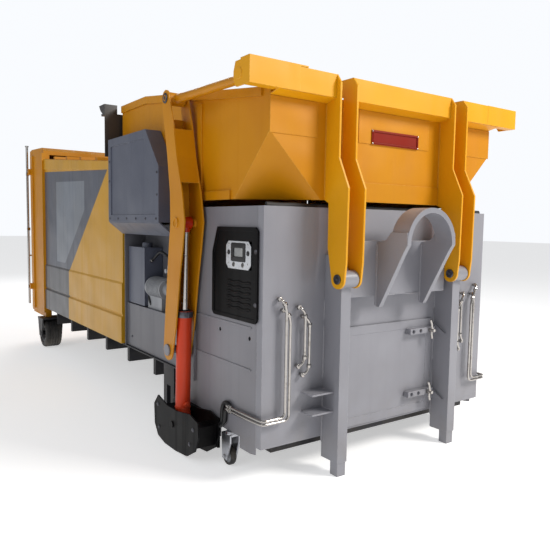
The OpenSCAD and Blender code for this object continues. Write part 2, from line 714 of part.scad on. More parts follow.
module hinge_plate() {
    difference() {
        union() {
            side_prism([[hinge[0] - 62, hinge[1]], [-238, 1400], [-243, 1870], [-150, 2060], [-150, 2520],
                [-110, 2574], [30, 2574], [30, 2470], [hopper_y0 - 0.5, 2462], [hopper_y0 - 0.5, 1800], [-60, 1780],
                [-62, 1500], [-104, hinge[1]]], 0, plate_t);
            x_rod(hinge, 0, plate_t, 62);
        }
        x_rod(hinge, -1, plate_t + 1, hinge_pin_r + fit);
    }
}
module hinge_plates(x) {
    for (side = [x - plate_gap / 2 - plate_t, x + plate_gap / 2])
        translate([side, 0, 0]) hinge_plate();
}
module hinge_plates_left() { color("#e3a01c") place() hinge_plates(-plate_pair_x); }
module hinge_plates_right() { color("#e3a01c") place() hinge_plates(plate_pair_x); }

module name_plate() {
    color("#b5382c") place() difference() {
        box(-229, 229, hopper_y0 - 12, hopper_y0 - 4, 2190, 2286);
        box(-217, 217, hopper_y0 - 13, hopper_y0 - 8, 2202, 2274);
    }
}

// ---- lift arms, links and cylinders ----

arm_rear = [[1058, 2520], [1051, 2457], [974, 2129], [927, 1855], [920, 1640], [946, 1459],
    [992, 1077], [1030, 720]];
arm_front = [[880, 715], [830, 900], [771, 1271], [735, 1439], [700, 1650], [738, 1840],
    [824, 2096], [880, 2341], [942, 2520]];

module arm_plate_shape(x0) {
    difference() {
        union() {
            side_prism(concat(arm_rear, arm_front), x0, x0 + arm_plate);
            x_rod(arm_top, x0, x0 + arm_plate, 58);
            x_rod(arm_foot, x0, x0 + arm_plate, 75);
        }
        x_rod(arm_foot, x0 - 1, x0 + arm_plate + 1, arm_pin_r + fit);
    }
}
module lift_arm() {
    arm_plate_shape(lane_in);
    arm_plate_shape(lane_out - arm_plate);
    // front web above the slot, and rear web from the foot to the top
    side_prism([[766, 1920], [824, 2096], [869, 2295], [878, 2293], [833, 2093], [775, 1918]],
        lane_in + arm_plate, lane_out - arm_plate);
    side_prism([[1030, 2380], [974, 2129], [927, 1855], [920, 1640], [946, 1459], [992, 1077],
        [1010, 900], [1000, 900], [983, 1075], [936, 1458], [910, 1640], [917, 1857], [964, 2132],
        [1020, 2382]], lane_in + arm_plate, lane_out - arm_plate);
    // stub pins that reach towards the rod eye from both plates
    for (x = [lane_in, lane_out - arm_plate - 16]) x_rod(cyl_eye, x, x + 26, 30);
    // pin heads on both plates, one each side of the link's eye
    x_rod(arm_top, lane_in, lane_in + arm_plate + 4, 22);
    x_rod(arm_top, lane_out - arm_plate - 4, lane_out + 8, 22);
    // keeper ring on the outer face
    translate([lane_out, cyl_eye[0], cyl_eye[1]]) rotate([0, 90, 0]) difference() {
        cylinder(h = 9, r = 38);
        translate([0, 0, 3]) cylinder(h = 9, r = 26);
    }
}
module lift_arm_left() { color("#e5ad2a") place() on_left() lift_arm(); }
module lift_arm_right() { color("#e5ad2a") place() lift_arm(); }

link_half = 44;
module link() {
    side = [lane_mid - 46, lane_mid + 46];
    difference() {
        union() {
            side_prism([[arm_top[0], arm_top[1] - 44], [arm_top[0], arm_top[1] + 44],
                [820, arm_top[1] + 32], [beam_eye[0], beam_eye[1] + 38], [beam_eye[0], beam_eye[1] - 38],
                [820, arm_top[1] - 34]], lane_mid - 34, lane_mid + 34);
            x_rod(arm_top, lane_mid - 62, lane_mid + 62, 46);
            x_rod(beam_eye, lane_mid - 50, lane_mid + 50, 38);
        }
        x_rod(arm_top, side[0] - 60, side[1] + 60, 22 + fit);
        x_rod(beam_eye, side[0] - 60, side[1] + 60, 20 + fit);
    }
}
module link_left() { color("#d9a028") place() on_left() link(); }
module link_right() { color("#d9a028") place() link(); }

cyl_vec = cyl_eye - cyl_foot;
cyl_len = norm(cyl_vec);
cyl_tilt = atan2(-cyl_vec[0], cyl_vec[1]);
barrel_len = 831;

// Puts a cylinder's own frame, foot at zero and rod along +Z, on the lift linkage
module on_cylinder() {
    translate([lane_mid, cyl_foot[0], cyl_foot[1]]) rotate([cyl_tilt, 0, 0]) children();
}
module lift_barrel() {
    on_cylinder() difference() {
        union() {
            translate([0, 0, 60]) cylinder(h = barrel_len - 60, r = barrel_r);
            translate([0, 0, barrel_len - 46]) cylinder(h = 46, r = barrel_r + 5);
            translate([-43, 0, 0]) rotate([0, 90, 0]) cylinder(h = 86, r = 48);
            translate([-43, -48, 0]) cube([86, 96, 70]);
        }
        translate([-50, 0, 0]) rotate([0, 90, 0]) cylinder(h = 100, r = 25 + fit);
        translate([0, 0, 90]) cylinder(h = barrel_len - 90 - 60, r = barrel_r - 12);
        translate([0, 0, barrel_len - 80]) cylinder(h = 90, r = rod_r + fit);
    }
}
module lift_barrel_left() { color("#c4482a") place() on_left() lift_barrel(); }
module lift_barrel_right() { color("#c4482a") place() lift_barrel(); }

module lift_rod() {
    on_cylinder() {
        translate([0, 0, barrel_len - 210]) cylinder(h = cyl_len - barrel_len + 180, r = rod_r);
        translate([0, 0, barrel_len - 210]) cylinder(h = 50, r = barrel_r - 12 - fit);
        difference() {
            union() {
                translate([-34, 0, cyl_len]) rotate([0, 90, 0]) cylinder(h = 68, r = 44);
                translate([0, 0, cyl_len - 100]) cylinder(h = 76, r = 31);
            }
            translate([-40, 0, cyl_len]) rotate([0, 90, 0]) cylinder(h = 80, r = 24);
        }
    }
}
module lift_rod_left() { color("#c9ccd2") place() on_left() lift_rod(); }
module lift_rod_right() { color("#c9ccd2") place() lift_rod(); }

// ---- inspection door and its clamps ----

hatch_pin = [door_x0 - 2, -16];
module inspection_door() {
    color("#a0a1ab") place() {
        difference() {
            box(door_x0 + 6, -door_x0 - 6, -14, -4, hatch_z0 + 2, hatch_z0 + hatch_h);
            box(door_x0 + 60, -door_x0 - 60, -15, -11, hatch_z0 + 60, hatch_z0 + hatch_h - 60);
        }
        for (z = [hatch_z0 + 130, hatch_z0 + hatch_h - 100])
            box(190, -door_x0 - 14, -58, -14, z, z + 42);
        for (z = [hatch_z0 + 60, hatch_z0 + hatch_h - 130]) translate([door_x0 + 4, -16, z])
            cylinder(h = 90, r = 11);
    }
}
clamp_x = -door_x0 - 72;
module clamp(z) {
    place() translate([clamp_x, -58.5, z]) {
        rotate([90, 0, 0]) cylinder(h = 26, r = 15);
        translate([0, -20, 0]) pipe([[-18, 0, 78], [-4, 0, 52], [2, 0, 20], [0, 0, 0], [-4, 0, -30], [6, 0, -62]], 9);
        translate([0, -22, 0]) rotate([90, 0, 0]) cylinder(h = 24, r = 12);
    }
}
module clamp_upper() { color("#8a8b90") clamp(hatch_z0 + hatch_h - 79); }
module clamp_lower() { color("#8a8b90") clamp(hatch_z0 + 151); }

// ---- control panel ----

panel_out = half + 17;
module control_door() {
    y0 = panel_y0;
    y1 = panel_y0 + panel_w;
    z0 = panel_z0;
    z1 = panel_z0 + panel_h;
    outline = [[y0, z0 + 24], [y0 + 24, z0], [y1 - 24, z0], [y1, z0 + 24], [y1, z1 - 170],
        [y1 - 66, z1], [y0 + 24, z1], [y0, z1 - 24]];
    color("#1d1c20") place() difference() {
        side_prism(outline, -panel_out, -half - 7);
        side_prism([[y0 + 26, z0 + 36], [y0 + 36, z0 + 26], [y1 - 36, z0 + 26], [y1 - 26, z0 + 36],
            [y1 - 26, z1 - 170], [y1 - 84, z1 - 26], [y0 + 36, z1 - 26], [y0 + 26, z1 - 36]],
            -panel_out - 1, -panel_out + 5);
        box(-panel_out - 1, -half, screen_y0 - 1, screen_y0 + 301, screen_z0 - 1, screen_z0 + 181);
        for (i = [0:5]) box(-panel_out - 1, -panel_out + 8, screen_y0 + 10, screen_y0 + 290,
            z0 + 70 + i * 34, z0 + 82 + i * 34);
    }
    // hinge barrels on its rear edge
    color("#1d1c20") place() for (z = [z0 + 60, z0 + 320])
        translate([-panel_out + 8, y1, z]) cylinder(h = 80, r = 7);
}
screen_y0 = panel_y0 + 70;
screen_z0 = panel_z0 + 330;
module screen_unit() {
    color("#cfd0d2") place() difference() {
        side_prism([[screen_y0, screen_z0 + 30], [screen_y0 + 30, screen_z0], [screen_y0 + 270, screen_z0],
            [screen_y0 + 300, screen_z0 + 30], [screen_y0 + 300, screen_z0 + 150],
            [screen_y0 + 270, screen_z0 + 180], [screen_y0 + 30, screen_z0 + 180],
            [screen_y0, screen_z0 + 150]], -panel_out - 2, -half - 7);
        box(-panel_out - 3, -panel_out + 3, screen_y0 + 70, screen_y0 + 230, screen_z0 + 56, screen_z0 + 160);
        for (y = [screen_y0 + 95, screen_y0 + 205])
            x_rod([y, screen_z0 + 28], -panel_out - 3, -half, 12.4);
    }
}
module button(y) {
    place() x_rod([y, screen_z0 + 28], -panel_out - 5, -half - 10, 12);
}
module button_start() { color("#2f7d3a") button(screen_y0 + 95); }
module button_stop() { color("#a82f2a") button(screen_y0 + 205); }

// ---- castors ----

castor_x = half - 20;
castor_y = 372;
castor_trail = 34;
module castor_fork(s) {
    color("#9a9ca0") place() translate([s * castor_x, castor_y, 0]) {
        translate([0, 0, 226]) cylinder(h = 19.5, r = 42);
        translate([0, 0, 170]) difference() {
            box(-40, 40, -36, castor_trail + 40, 0, 56);
            box(-29, 29, -40, castor_trail + 44, -1, 44);
        }
        for (k = [-1, 1]) side_prism([[castor_trail - 30, castor_r - 20], [castor_trail + 30, castor_r - 20],
            [castor_trail + 40, 180], [-36, 180]], k * 34.5 - 5.5, k * 34.5 + 5.5);
        x_rod([castor_trail, castor_r], -46, 46, 9);
    }
}
module castor_fork_left() { castor_fork(-1); }
module castor_fork_right() { castor_fork(1); }
module castor_wheel(s) {
    color("#222225") place() translate([s * castor_x, castor_y + castor_trail, castor_r]) rotate([0, 90, 0])
        rotate_extrude($fn = 72) polygon([[9 + fit, -26], [26, -26], [34, -18], [castor_r - 14, -18],
            [castor_r - 4, -20], [castor_r, -12], [castor_r, 12], [castor_r - 4, 20], [castor_r - 14, 18],
            [34, 18], [26, 26], [9 + fit, 26]]);
}
module castor_wheel_left() { castor_wheel(-1); }
module castor_wheel_right() { castor_wheel(1); }

head_front();
head_side_left();
head_side_right();
head_floor();
chute_guard_left();
chute_guard_right();
chute_rear_wall();
post_left();
post_right();
hinge_pins();
crossbeam();
hook_bail();
ram_guide();
press_barrel();
control_cabinet();
oil_tank();
pump_motor();
valve_block();
pipes_left();
pipes_right();
cylinder_bracket_left();
cylinder_bracket_right();
container_left();
container_right();
container_roof();
container_floor();
chassis_rails();
rear_frame();
rear_axles();
press_ram();
hopper_shell();
lip_beam();
hinge_plates_left();
hinge_plates_right();
name_plate();
lift_arm_left();
lift_arm_right();
link_left();
link_right();
lift_barrel_left();
lift_barrel_right();
lift_rod_left();
lift_rod_right();
inspection_door();
clamp_upper();
clamp_lower();
control_door();
screen_unit();
button_start();
button_stop();
castor_fork_left();
castor_fork_right();
castor_wheel_left();
castor_wheel_right();
rear_wheel_left();
rear_wheel_right();
rear_door();
door_latch();
latch_brackets();
hopper_stiffeners();
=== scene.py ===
# %% [markdown]
# # A roll-off waste compactor with a turn-over hopper
# This lesson dresses a finished CAD model in paint, rubber and steel, and adds the small
# parts that a maker's eye looks for: welds, bolts, hoses, louvres, tyres.
# The frame comes first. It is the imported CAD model, and nothing in it is moved or reshaped.

# %% Load the frame
import math

import bmesh
import bpy
import numpy as np
from mathutils import Matrix, Vector


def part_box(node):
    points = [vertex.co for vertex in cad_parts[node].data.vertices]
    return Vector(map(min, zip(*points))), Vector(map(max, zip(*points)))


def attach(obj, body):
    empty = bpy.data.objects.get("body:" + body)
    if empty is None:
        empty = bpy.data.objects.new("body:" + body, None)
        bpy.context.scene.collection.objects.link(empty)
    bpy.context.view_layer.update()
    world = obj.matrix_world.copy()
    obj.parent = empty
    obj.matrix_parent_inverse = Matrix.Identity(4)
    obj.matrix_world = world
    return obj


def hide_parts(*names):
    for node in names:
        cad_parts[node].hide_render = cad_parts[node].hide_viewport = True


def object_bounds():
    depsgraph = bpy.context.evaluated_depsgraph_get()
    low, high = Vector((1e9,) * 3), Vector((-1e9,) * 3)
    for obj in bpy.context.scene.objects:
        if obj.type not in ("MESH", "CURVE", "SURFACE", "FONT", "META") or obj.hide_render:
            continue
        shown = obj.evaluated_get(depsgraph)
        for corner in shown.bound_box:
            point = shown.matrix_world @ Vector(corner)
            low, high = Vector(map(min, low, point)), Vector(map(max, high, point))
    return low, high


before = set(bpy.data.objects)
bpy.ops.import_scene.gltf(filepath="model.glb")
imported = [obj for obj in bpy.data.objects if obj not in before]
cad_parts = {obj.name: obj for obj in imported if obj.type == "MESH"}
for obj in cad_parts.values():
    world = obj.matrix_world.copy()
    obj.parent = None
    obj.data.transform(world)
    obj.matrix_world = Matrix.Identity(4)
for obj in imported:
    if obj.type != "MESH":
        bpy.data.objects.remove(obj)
cad_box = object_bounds()
cad_low, cad_high = Vector(cad_box[0]), Vector(cad_box[1])
print("frame box", [round(v, 3) for v in (*cad_low, *cad_high)])

# %% [markdown]
# Sizes are read back from the frame, so every later cell can say "so far behind the front
# plate" as a fitter would. One number does most of the work: where the front plate stands.

# %% Places taken from the frame
front_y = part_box("crossbeam")[1].y + 0.001
MM = 0.001


def from_front(y):
    """Row-frame y of a place given in metres behind the head's front plate."""
    return front_y + y


print("front plate at y =", round(front_y, 4))

# %% [markdown]
# ## Camera
# The machine is seen from its left front corner, a little below a standing eye. The turn,
# the slight downward look and the small roll of the hand are set as three angles.

# %% Camera
scene = bpy.context.scene
eye = Vector((-3.10106, -5.68625, 1.64164))
turn = math.radians(35.3356)
dip = math.radians(4.8974)
roll = math.radians(0.92693)
ahead = Vector((math.sin(turn) * math.cos(dip), math.cos(turn) * math.cos(dip), -math.sin(dip)))
right = ahead.cross(Vector((0, 0, 1))).normalized()
up = right.cross(ahead)
right_r = right * math.cos(roll) + up * math.sin(roll)
up_r = up * math.cos(roll) - right * math.sin(roll)
lens = bpy.data.cameras.new("camera")
lens.lens = 38.861
lens.sensor_width = 36.0
lens.clip_end = 100.0
camera = bpy.data.objects.new("camera", lens)
camera.matrix_world = Matrix((
    (right_r.x, up_r.x, -ahead.x, eye.x),
    (right_r.y, up_r.y, -ahead.y, eye.y),
    (right_r.z, up_r.z, -ahead.z, eye.z),
    (0, 0, 0, 1)))
scene.collection.objects.link(camera)
scene.camera = camera
print("camera distance", round((eye - Vector((0, 0, 1))).length, 2), "m")

# %% [markdown]
# ## Light and floor
# A pale sky on all sides keeps the paint's colours true. One large soft lamp high on the
# right front gives the folds and plate edges their bright and dark sides, and a weaker one
# on the left opens the shadow under the hopper.

# %% Lamps, sky and floor
scene.view_settings.view_transform = "Standard"
sky = bpy.data.worlds.new("studio_sky")
sky.use_nodes = True
backdrop = sky.node_tree.nodes["Background"]
backdrop.inputs["Color"].default_value = (0.95, 0.97, 1.0, 1)
# the eye sees a white backdrop, while the surfaces are lit by about a third of it
seen = sky.node_tree.nodes.new("ShaderNodeLightPath")
level = sky.node_tree.nodes.new("ShaderNodeMapRange")
level.inputs["To Min"].default_value = 0.34
level.inputs["To Max"].default_value = 1.0
sky.node_tree.links.new(seen.outputs["Is Camera Ray"], level.inputs["Value"])
sky.node_tree.links.new(level.outputs["Result"], backdrop.inputs["Strength"])
scene.world = sky


def soft_lamp(name, place, aim, size, watts, colour):
    """A square area lamp at place, turned so that its face looks at aim."""
    data = bpy.data.lights.new(name, "AREA")
    data.size = size
    data.energy = watts
    data.color = colour
    lamp = bpy.data.objects.new(name, data)
    lamp.location = place
    lamp.rotation_euler = (Vector(aim) - Vector(place)).to_track_quat("-Z", "Y").to_euler()
    scene.collection.objects.link(lamp)


soft_lamp("key_lamp", (4.5, -8.5, 7.0), (0, -1.5, 1.2), 3.0, 800, (1.0, 0.97, 0.92))
soft_lamp("side_lamp", (-8.5, -3.0, 5.5), (0, 0, 1.2), 5.0, 130, (0.94, 0.97, 1.0))
soft_lamp("rear_lamp", (3.0, 9.0, 6.5), (0, 1, 1.2), 4.0, 300, (1.0, 1.0, 1.0))

# %% [markdown]
# ## Shader tools
# Five small node groups hold what several finishes share. Each is built once, with named
# inputs and outputs, and every finish then sets its own values. The groups put out only
# masks, colours, heights and normals, and the surface shader itself stays in each finish.

# %% A helper that starts a group
def start_group(name, inputs, outputs):
    """Makes an empty shader group. inputs is {name: (kind, default)}, outputs is {name: kind}."""
    group = bpy.data.node_groups.new(name, "ShaderNodeTree")
    for label, (kind, default) in inputs.items():
        socket = group.interface.new_socket(
            name=label, in_out="INPUT", socket_type="NodeSocket" + kind)
        if default is not None:
            socket.default_value = default
    for label, kind in outputs.items():
        group.interface.new_socket(name=label, in_out="OUTPUT", socket_type="NodeSocket" + kind)
    entry = group.nodes.new("NodeGroupInput")
    leave = group.nodes.new("NodeGroupOutput")
    return group, entry, leave


def wire(tree, kind, settings=None, **links):
    """Adds a node. A link is a socket or a plain value, by socket name or by _number."""
    node = tree.nodes.new("ShaderNode" + kind)
    for key, value in (settings or {}).items():
        setattr(node, key, value)
    for key, value in links.items():
        target = node.inputs[int(key[1:])] if key[0] == "_" else node.inputs[key.replace("_", " ")]
        if isinstance(value, bpy.types.NodeSocket):
            tree.links.new(value, target)
        else:
            target.default_value = value
    return node


def maths(tree, what, a, b=0.0, clamp=False):
    """One arithmetic step, given back as its output socket."""
    return wire(tree, "Math", {"operation": what, "use_clamp": clamp}, _0=a, _1=b).outputs[0]


def stretch(tree, value, low, high, to_low=0.0, to_high=1.0):
    """Spreads low..high smoothly over to_low..to_high, held at both ends."""
    node = wire(tree, "MapRange", {"interpolation_type": "SMOOTHSTEP"}, _0=value)
    for index, number in enumerate((low, high, to_low, to_high), start=1):
        node.inputs[index].default_value = number
    return node.outputs[0]


def blend_colour(tree, factor, a, b):
    """Mixes colour b over colour a by factor."""
    node = wire(tree, "Mix", {"data_type": "RGBA", "blend_type": "MIX"})
    for index, value in ((0, factor), (6, a), (7, b)):
        if isinstance(value, bpy.types.NodeSocket):
            tree.links.new(value, node.inputs[index])
        else:
            node.inputs[index].default_value = value
    return node.outputs[2]


def rgb(red, green, blue):
    """A display colour 0..255 turned to linear light: the value over 255, to the power 2.2."""
    return tuple((v / 255) ** 2.2 for v in (red, green, blue)) + (1.0,)


# %% [markdown]
# Edges. Sharp corners of real plate are slightly round, and they catch light. A bevel
# lookup gives a rounded normal, and where it leans away from the true one there is an edge.
# This edge mask, broken up by noise, is used to paint a highlight onto the edges.

# %% The group for round edges and painted edge highlights
edge_round_and_highlight, entry, leave = start_group(
    "edge_round_and_highlight",
    {"Vector": ("Vector", None), "Radius": ("Float", 0.004), "Breakup Scale": ("Float", 60.0)},
    {"Edge": "Float", "Normal": "Vector"})
round_normal = wire(edge_round_and_highlight, "Bevel", {"samples": 4}, Radius=entry.outputs["Radius"])
true_normal = wire(edge_round_and_highlight, "NewGeometry")
lean = wire(edge_round_and_highlight, "VectorMath", {"operation": "DOT_PRODUCT"},
            _0=round_normal.outputs[0], _1=true_normal.outputs["True Normal"])
# noise that breaks up the painted edge highlight
highlight_breakup = wire(edge_round_and_highlight, "TexNoise", Vector=entry.outputs["Vector"],
             Scale=entry.outputs["Breakup Scale"], Detail=4.0)
raw_edge = stretch(edge_round_and_highlight, lean.outputs["Value"], 0.995, 0.82)
broken = stretch(edge_round_and_highlight, highlight_breakup.outputs[0], 0.42, 0.62, 0.35, 1.0)
edge_round_and_highlight.links.new(maths(edge_round_and_highlight, "MULTIPLY", raw_edge, broken), leave.inputs["Edge"])
edge_round_and_highlight.links.new(round_normal.outputs[0], leave.inputs["Normal"])

# %% [markdown]
# Paint is never one colour. It is thinner in one place, sun-bleached in another, and rain
# leaves faint upright streaks. Slow noise and stretched noise give both.

# %% The paint_drift group
paint_drift, entry, leave = start_group(
    "paint_drift",
    {"Vector": ("Vector", None), "Colour": ("Color", (0.5, 0.5, 0.5, 1)),
     "Shade": ("Color", (0.2, 0.2, 0.2, 1)), "Amount": ("Float", 0.3)},
    {"Colour": "Color", "Streaks": "Float"})
slow = wire(paint_drift, "TexNoise", Vector=entry.outputs["Vector"], Scale=1.7, Detail=3.0)
tall = wire(paint_drift, "VectorMath", {"operation": "MULTIPLY"},
            _0=entry.outputs["Vector"], _1=(13.0, 13.0, 0.7))
rain = wire(paint_drift, "TexNoise", Vector=tall.outputs[0], Scale=1.0, Detail=5.0)
streaks = stretch(paint_drift, rain.outputs[0], 0.48, 0.76)
patches = stretch(paint_drift, slow.outputs[0], 0.35, 0.7)
both = maths(paint_drift, "ADD", maths(paint_drift, "MULTIPLY", patches, 0.8),
             maths(paint_drift, "MULTIPLY", streaks, 0.2))
share = maths(paint_drift, "MULTIPLY", both, entry.outputs["Amount"], clamp=True)
drifted = blend_colour(paint_drift, share, entry.outputs["Colour"], entry.outputs["Shade"])
paint_drift.links.new(drifted, leave.inputs["Colour"])
paint_drift.links.new(streaks, leave.inputs["Streaks"])

# %% [markdown]
# Dust settles low down, where wheels throw it up, and it thins out towards knee height.

# %% The road_dust group
road_dust, entry, leave = start_group(
    "road_dust",
    {"Vector": ("Vector", None), "Top": ("Float", 0.9), "Amount": ("Float", 0.5)},
    {"Dust": "Float"})
split = wire(road_dust, "SeparateXYZ", _0=entry.outputs["Vector"])
depth = maths(road_dust, "SUBTRACT", 1.0, maths(
    road_dust, "DIVIDE", split.outputs["Z"], entry.outputs["Top"]), clamp=True)
cloud = wire(road_dust, "TexNoise", Vector=entry.outputs["Vector"], Scale=7.0, Detail=7.0)
uneven = stretch(road_dust, cloud.outputs[0], 0.32, 0.72)
low_dust = maths(road_dust, "MULTIPLY", maths(road_dust, "POWER", depth, 1.6), uneven)
road_dust.links.new(maths(road_dust, "MULTIPLY", low_dust, entry.outputs["Amount"], clamp=True),
                    leave.inputs["Dust"])

# %% [markdown]
# Sprayed enamel has a fine skin like orange peel, and large sheets are never quite flat:
# the welds pull them into slow waves. Both are heights for a Bump node.

# %% The sheet_skin group
sheet_skin, entry, leave = start_group(
    "sheet_skin",
    {"Vector": ("Vector", None), "Peel": ("Float", 0.5), "Waves": ("Float", 1.0)},
    {"Height": "Float"})
peel = wire(sheet_skin, "TexNoise", Vector=entry.outputs["Vector"], Scale=240.0, Detail=1.0)
waves = wire(sheet_skin, "TexNoise", Vector=entry.outputs["Vector"], Scale=2.6, Detail=1.0)
peel_part = maths(sheet_skin, "MULTIPLY", maths(
    sheet_skin, "MULTIPLY", peel.outputs[0], 0.0004), entry.outputs["Peel"])
wave_part = maths(sheet_skin, "MULTIPLY", maths(
    sheet_skin, "MULTIPLY", waves.outputs[0], 0.02), entry.outputs["Waves"])
sheet_skin.links.new(maths(sheet_skin, "ADD", peel_part, wave_part), leave.inputs["Height"])

# %% [markdown]
# Bare steel shows the direction it was rolled or turned in. Noise that is squeezed across
# the grain makes fine parallel lines.

# %% The metal_grain group
metal_grain, entry, leave = start_group(
    "metal_grain",
    {"Vector": ("Vector", None), "Stretch": ("Vector", (400.0, 400.0, 8.0))},
    {"Grain": "Float", "Spots": "Float"})
drawn = wire(metal_grain, "VectorMath", {"operation": "MULTIPLY"},
             _0=entry.outputs["Vector"], _1=entry.outputs["Stretch"])
lines = wire(metal_grain, "TexNoise", Vector=drawn.outputs[0], Scale=1.0, Detail=3.0)
spots = wire(metal_grain, "TexNoise", Vector=entry.outputs["Vector"], Scale=35.0, Detail=6.0)
metal_grain.links.new(lines.outputs[0], leave.inputs["Grain"])
metal_grain.links.new(stretch(metal_grain, spots.outputs[0], 0.5, 0.75), leave.inputs["Spots"])
print("shader groups", [g.name for g in bpy.data.node_groups])

# %% [markdown]
# ## Finishes
# A finish is one material: a surface shader fed by the groups. Painted steel is the main
# one. Its constants, such as the clear coat, sit on the shader's own sockets.

# %% Painted steel
def group_node(tree, group, **values):
    """Places a shader group and fills its named inputs."""
    node = tree.nodes.new("ShaderNodeGroup")
    node.node_tree = group
    for key, value in values.items():
        target = node.inputs[key.replace("_", " ")]
        if isinstance(value, bpy.types.NodeSocket):
            tree.links.new(value, target)
        else:
            target.default_value = value
    return node


def start_finish(name):
    """A new material with its shader and Object coordinates ready."""
    finish = bpy.data.materials.new(name)
    finish.use_nodes = True
    tree = finish.node_tree
    shader = tree.nodes["Principled BSDF"]
    place = wire(tree, "TexCoord").outputs["Object"]
    return finish, tree, shader, place


def bump(tree, shader, height, normal=None):
    """Feeds a height to the shader's normal, on top of an optional rounded normal."""
    node = wire(tree, "Bump", Strength=1.0, Distance=1.0, Height=height)
    if normal is not None:
        tree.links.new(normal, node.inputs["Normal"])
    tree.links.new(node.outputs[0], shader.inputs["Normal"])


dust_colour = rgb(118, 110, 98)


def painted(name, colour, shade, drift=0.35, rough=0.4, edge=None, dust=0.3, waves=1.0,
            coat=0.12, radius=0.004, gloss=0.5, painter=None):
    """Sprayed enamel over steel, with drift, a painted highlight on the edges, dust low down and a
    wavy skin.
    """
    finish, tree, shader, place = start_finish(name)
    base = painter(tree, place) if painter else colour
    body = group_node(tree, paint_drift, Vector=place, Colour=base, Shade=shade, Amount=drift)
    rim = group_node(tree, edge_round_and_highlight, Vector=place, Radius=radius)
    low = group_node(tree, road_dust, Vector=place, Amount=dust)
    # bright is the colour of the painted edge highlight, laid over the paint by the edge mask
    bright = edge or tuple(min(1.0, c * 1.7 + 0.04) for c in colour[:3]) + (1.0,)
    lit = blend_colour(tree, maths(tree, "MULTIPLY", rim.outputs["Edge"], 0.75),
                       body.outputs["Colour"], bright)
    dusty = blend_colour(tree, low.outputs["Dust"], lit, dust_colour)
    tree.links.new(dusty, shader.inputs["Base Color"])
    dull = maths(tree, "MULTIPLY", low.outputs["Dust"], 0.5)
    patchy = maths(tree, "MULTIPLY", body.outputs["Streaks"], 0.12)
    tree.links.new(maths(tree, "ADD", maths(tree, "ADD", rough, patchy), dull, clamp=True),
                   shader.inputs["Roughness"])
    skin = group_node(tree, sheet_skin, Vector=place, Waves=waves)
    bump(tree, shader, skin.outputs["Height"], rim.outputs["Normal"])
    shader.inputs["Coat Weight"].default_value = coat
    shader.inputs["Coat Roughness"].default_value = 0.18
    shader.inputs["Specular IOR Level"].default_value = gloss
    return finish


grey_paint = painted("grey_paint", rgb(140, 140, 147), rgb(106, 105, 112))
guard_paint = painted("guard_paint", rgb(86, 90, 104), rgb(66, 70, 84), waves=1.3)
yellow_paint = painted("yellow_paint", rgb(202, 134, 5), rgb(170, 100, 2),
                       edge=rgb(244, 200, 92), waves=1.5, rough=0.42, dust=0.15,
                       coat=0.03, gloss=0.3)
# the same yellow as yellow_paint made lighter: painted light on the lip beam and the hinge plates
lit_yellow_paint = painted("lit_yellow_paint", rgb(226, 160, 20), rgb(206, 136, 10),
                    edge=rgb(252, 214, 112), rough=0.4, dust=0.15, coat=0.04,
                    gloss=0.32)
dark_paint = painted("dark_paint", rgb(36, 36, 41), rgb(24, 24, 28), dust=0.3, coat=0.0,
                     gloss=0.3)
# the chute's rear wall is a grey plate painted dark: painted shade for the shadow it stands in
shaded_rear_wall_paint = painted("shaded_rear_wall_paint", rgb(58, 54, 52), rgb(38, 35, 34), dust=0.3)
bracket_black = painted("bracket_black", rgb(11, 11, 14), rgb(7, 7, 9), rough=0.42,
                        coat=0.0, dust=0.05, gloss=0.12, edge=rgb(46, 46, 52))
red_paint = painted("red_paint", rgb(208, 62, 18), rgb(176, 40, 12), waves=0.2, rough=0.36,
                    coat=0.1, gloss=0.3, edge=rgb(236, 120, 70))
plate_red = painted("plate_red", rgb(132, 32, 14), rgb(98, 20, 10), waves=0.3, dust=0.05,
                    coat=0.0, gloss=0.2, edge=rgb(190, 84, 60))
motor_paint = painted("motor_paint", rgb(150, 152, 156), rgb(104, 106, 112), waves=0.1)
panel_black = painted("panel_black", rgb(8, 8, 10), rgb(13, 12, 15), rough=0.4, coat=0.0,
                      gloss=0.14, waves=0.5, dust=0.02, radius=0.003, edge=rgb(56, 56, 62))
print("painted finishes ready")

# %% [markdown]
# The container's side is painted in two tones: a blue-grey field cut off by a slanting
# line, on yellow. The paler field inside the blue-grey is a painted reflection. The fields are
# worked out from the point's own y and z: a point is inside a field when it is on the right side of
# all of its edges.

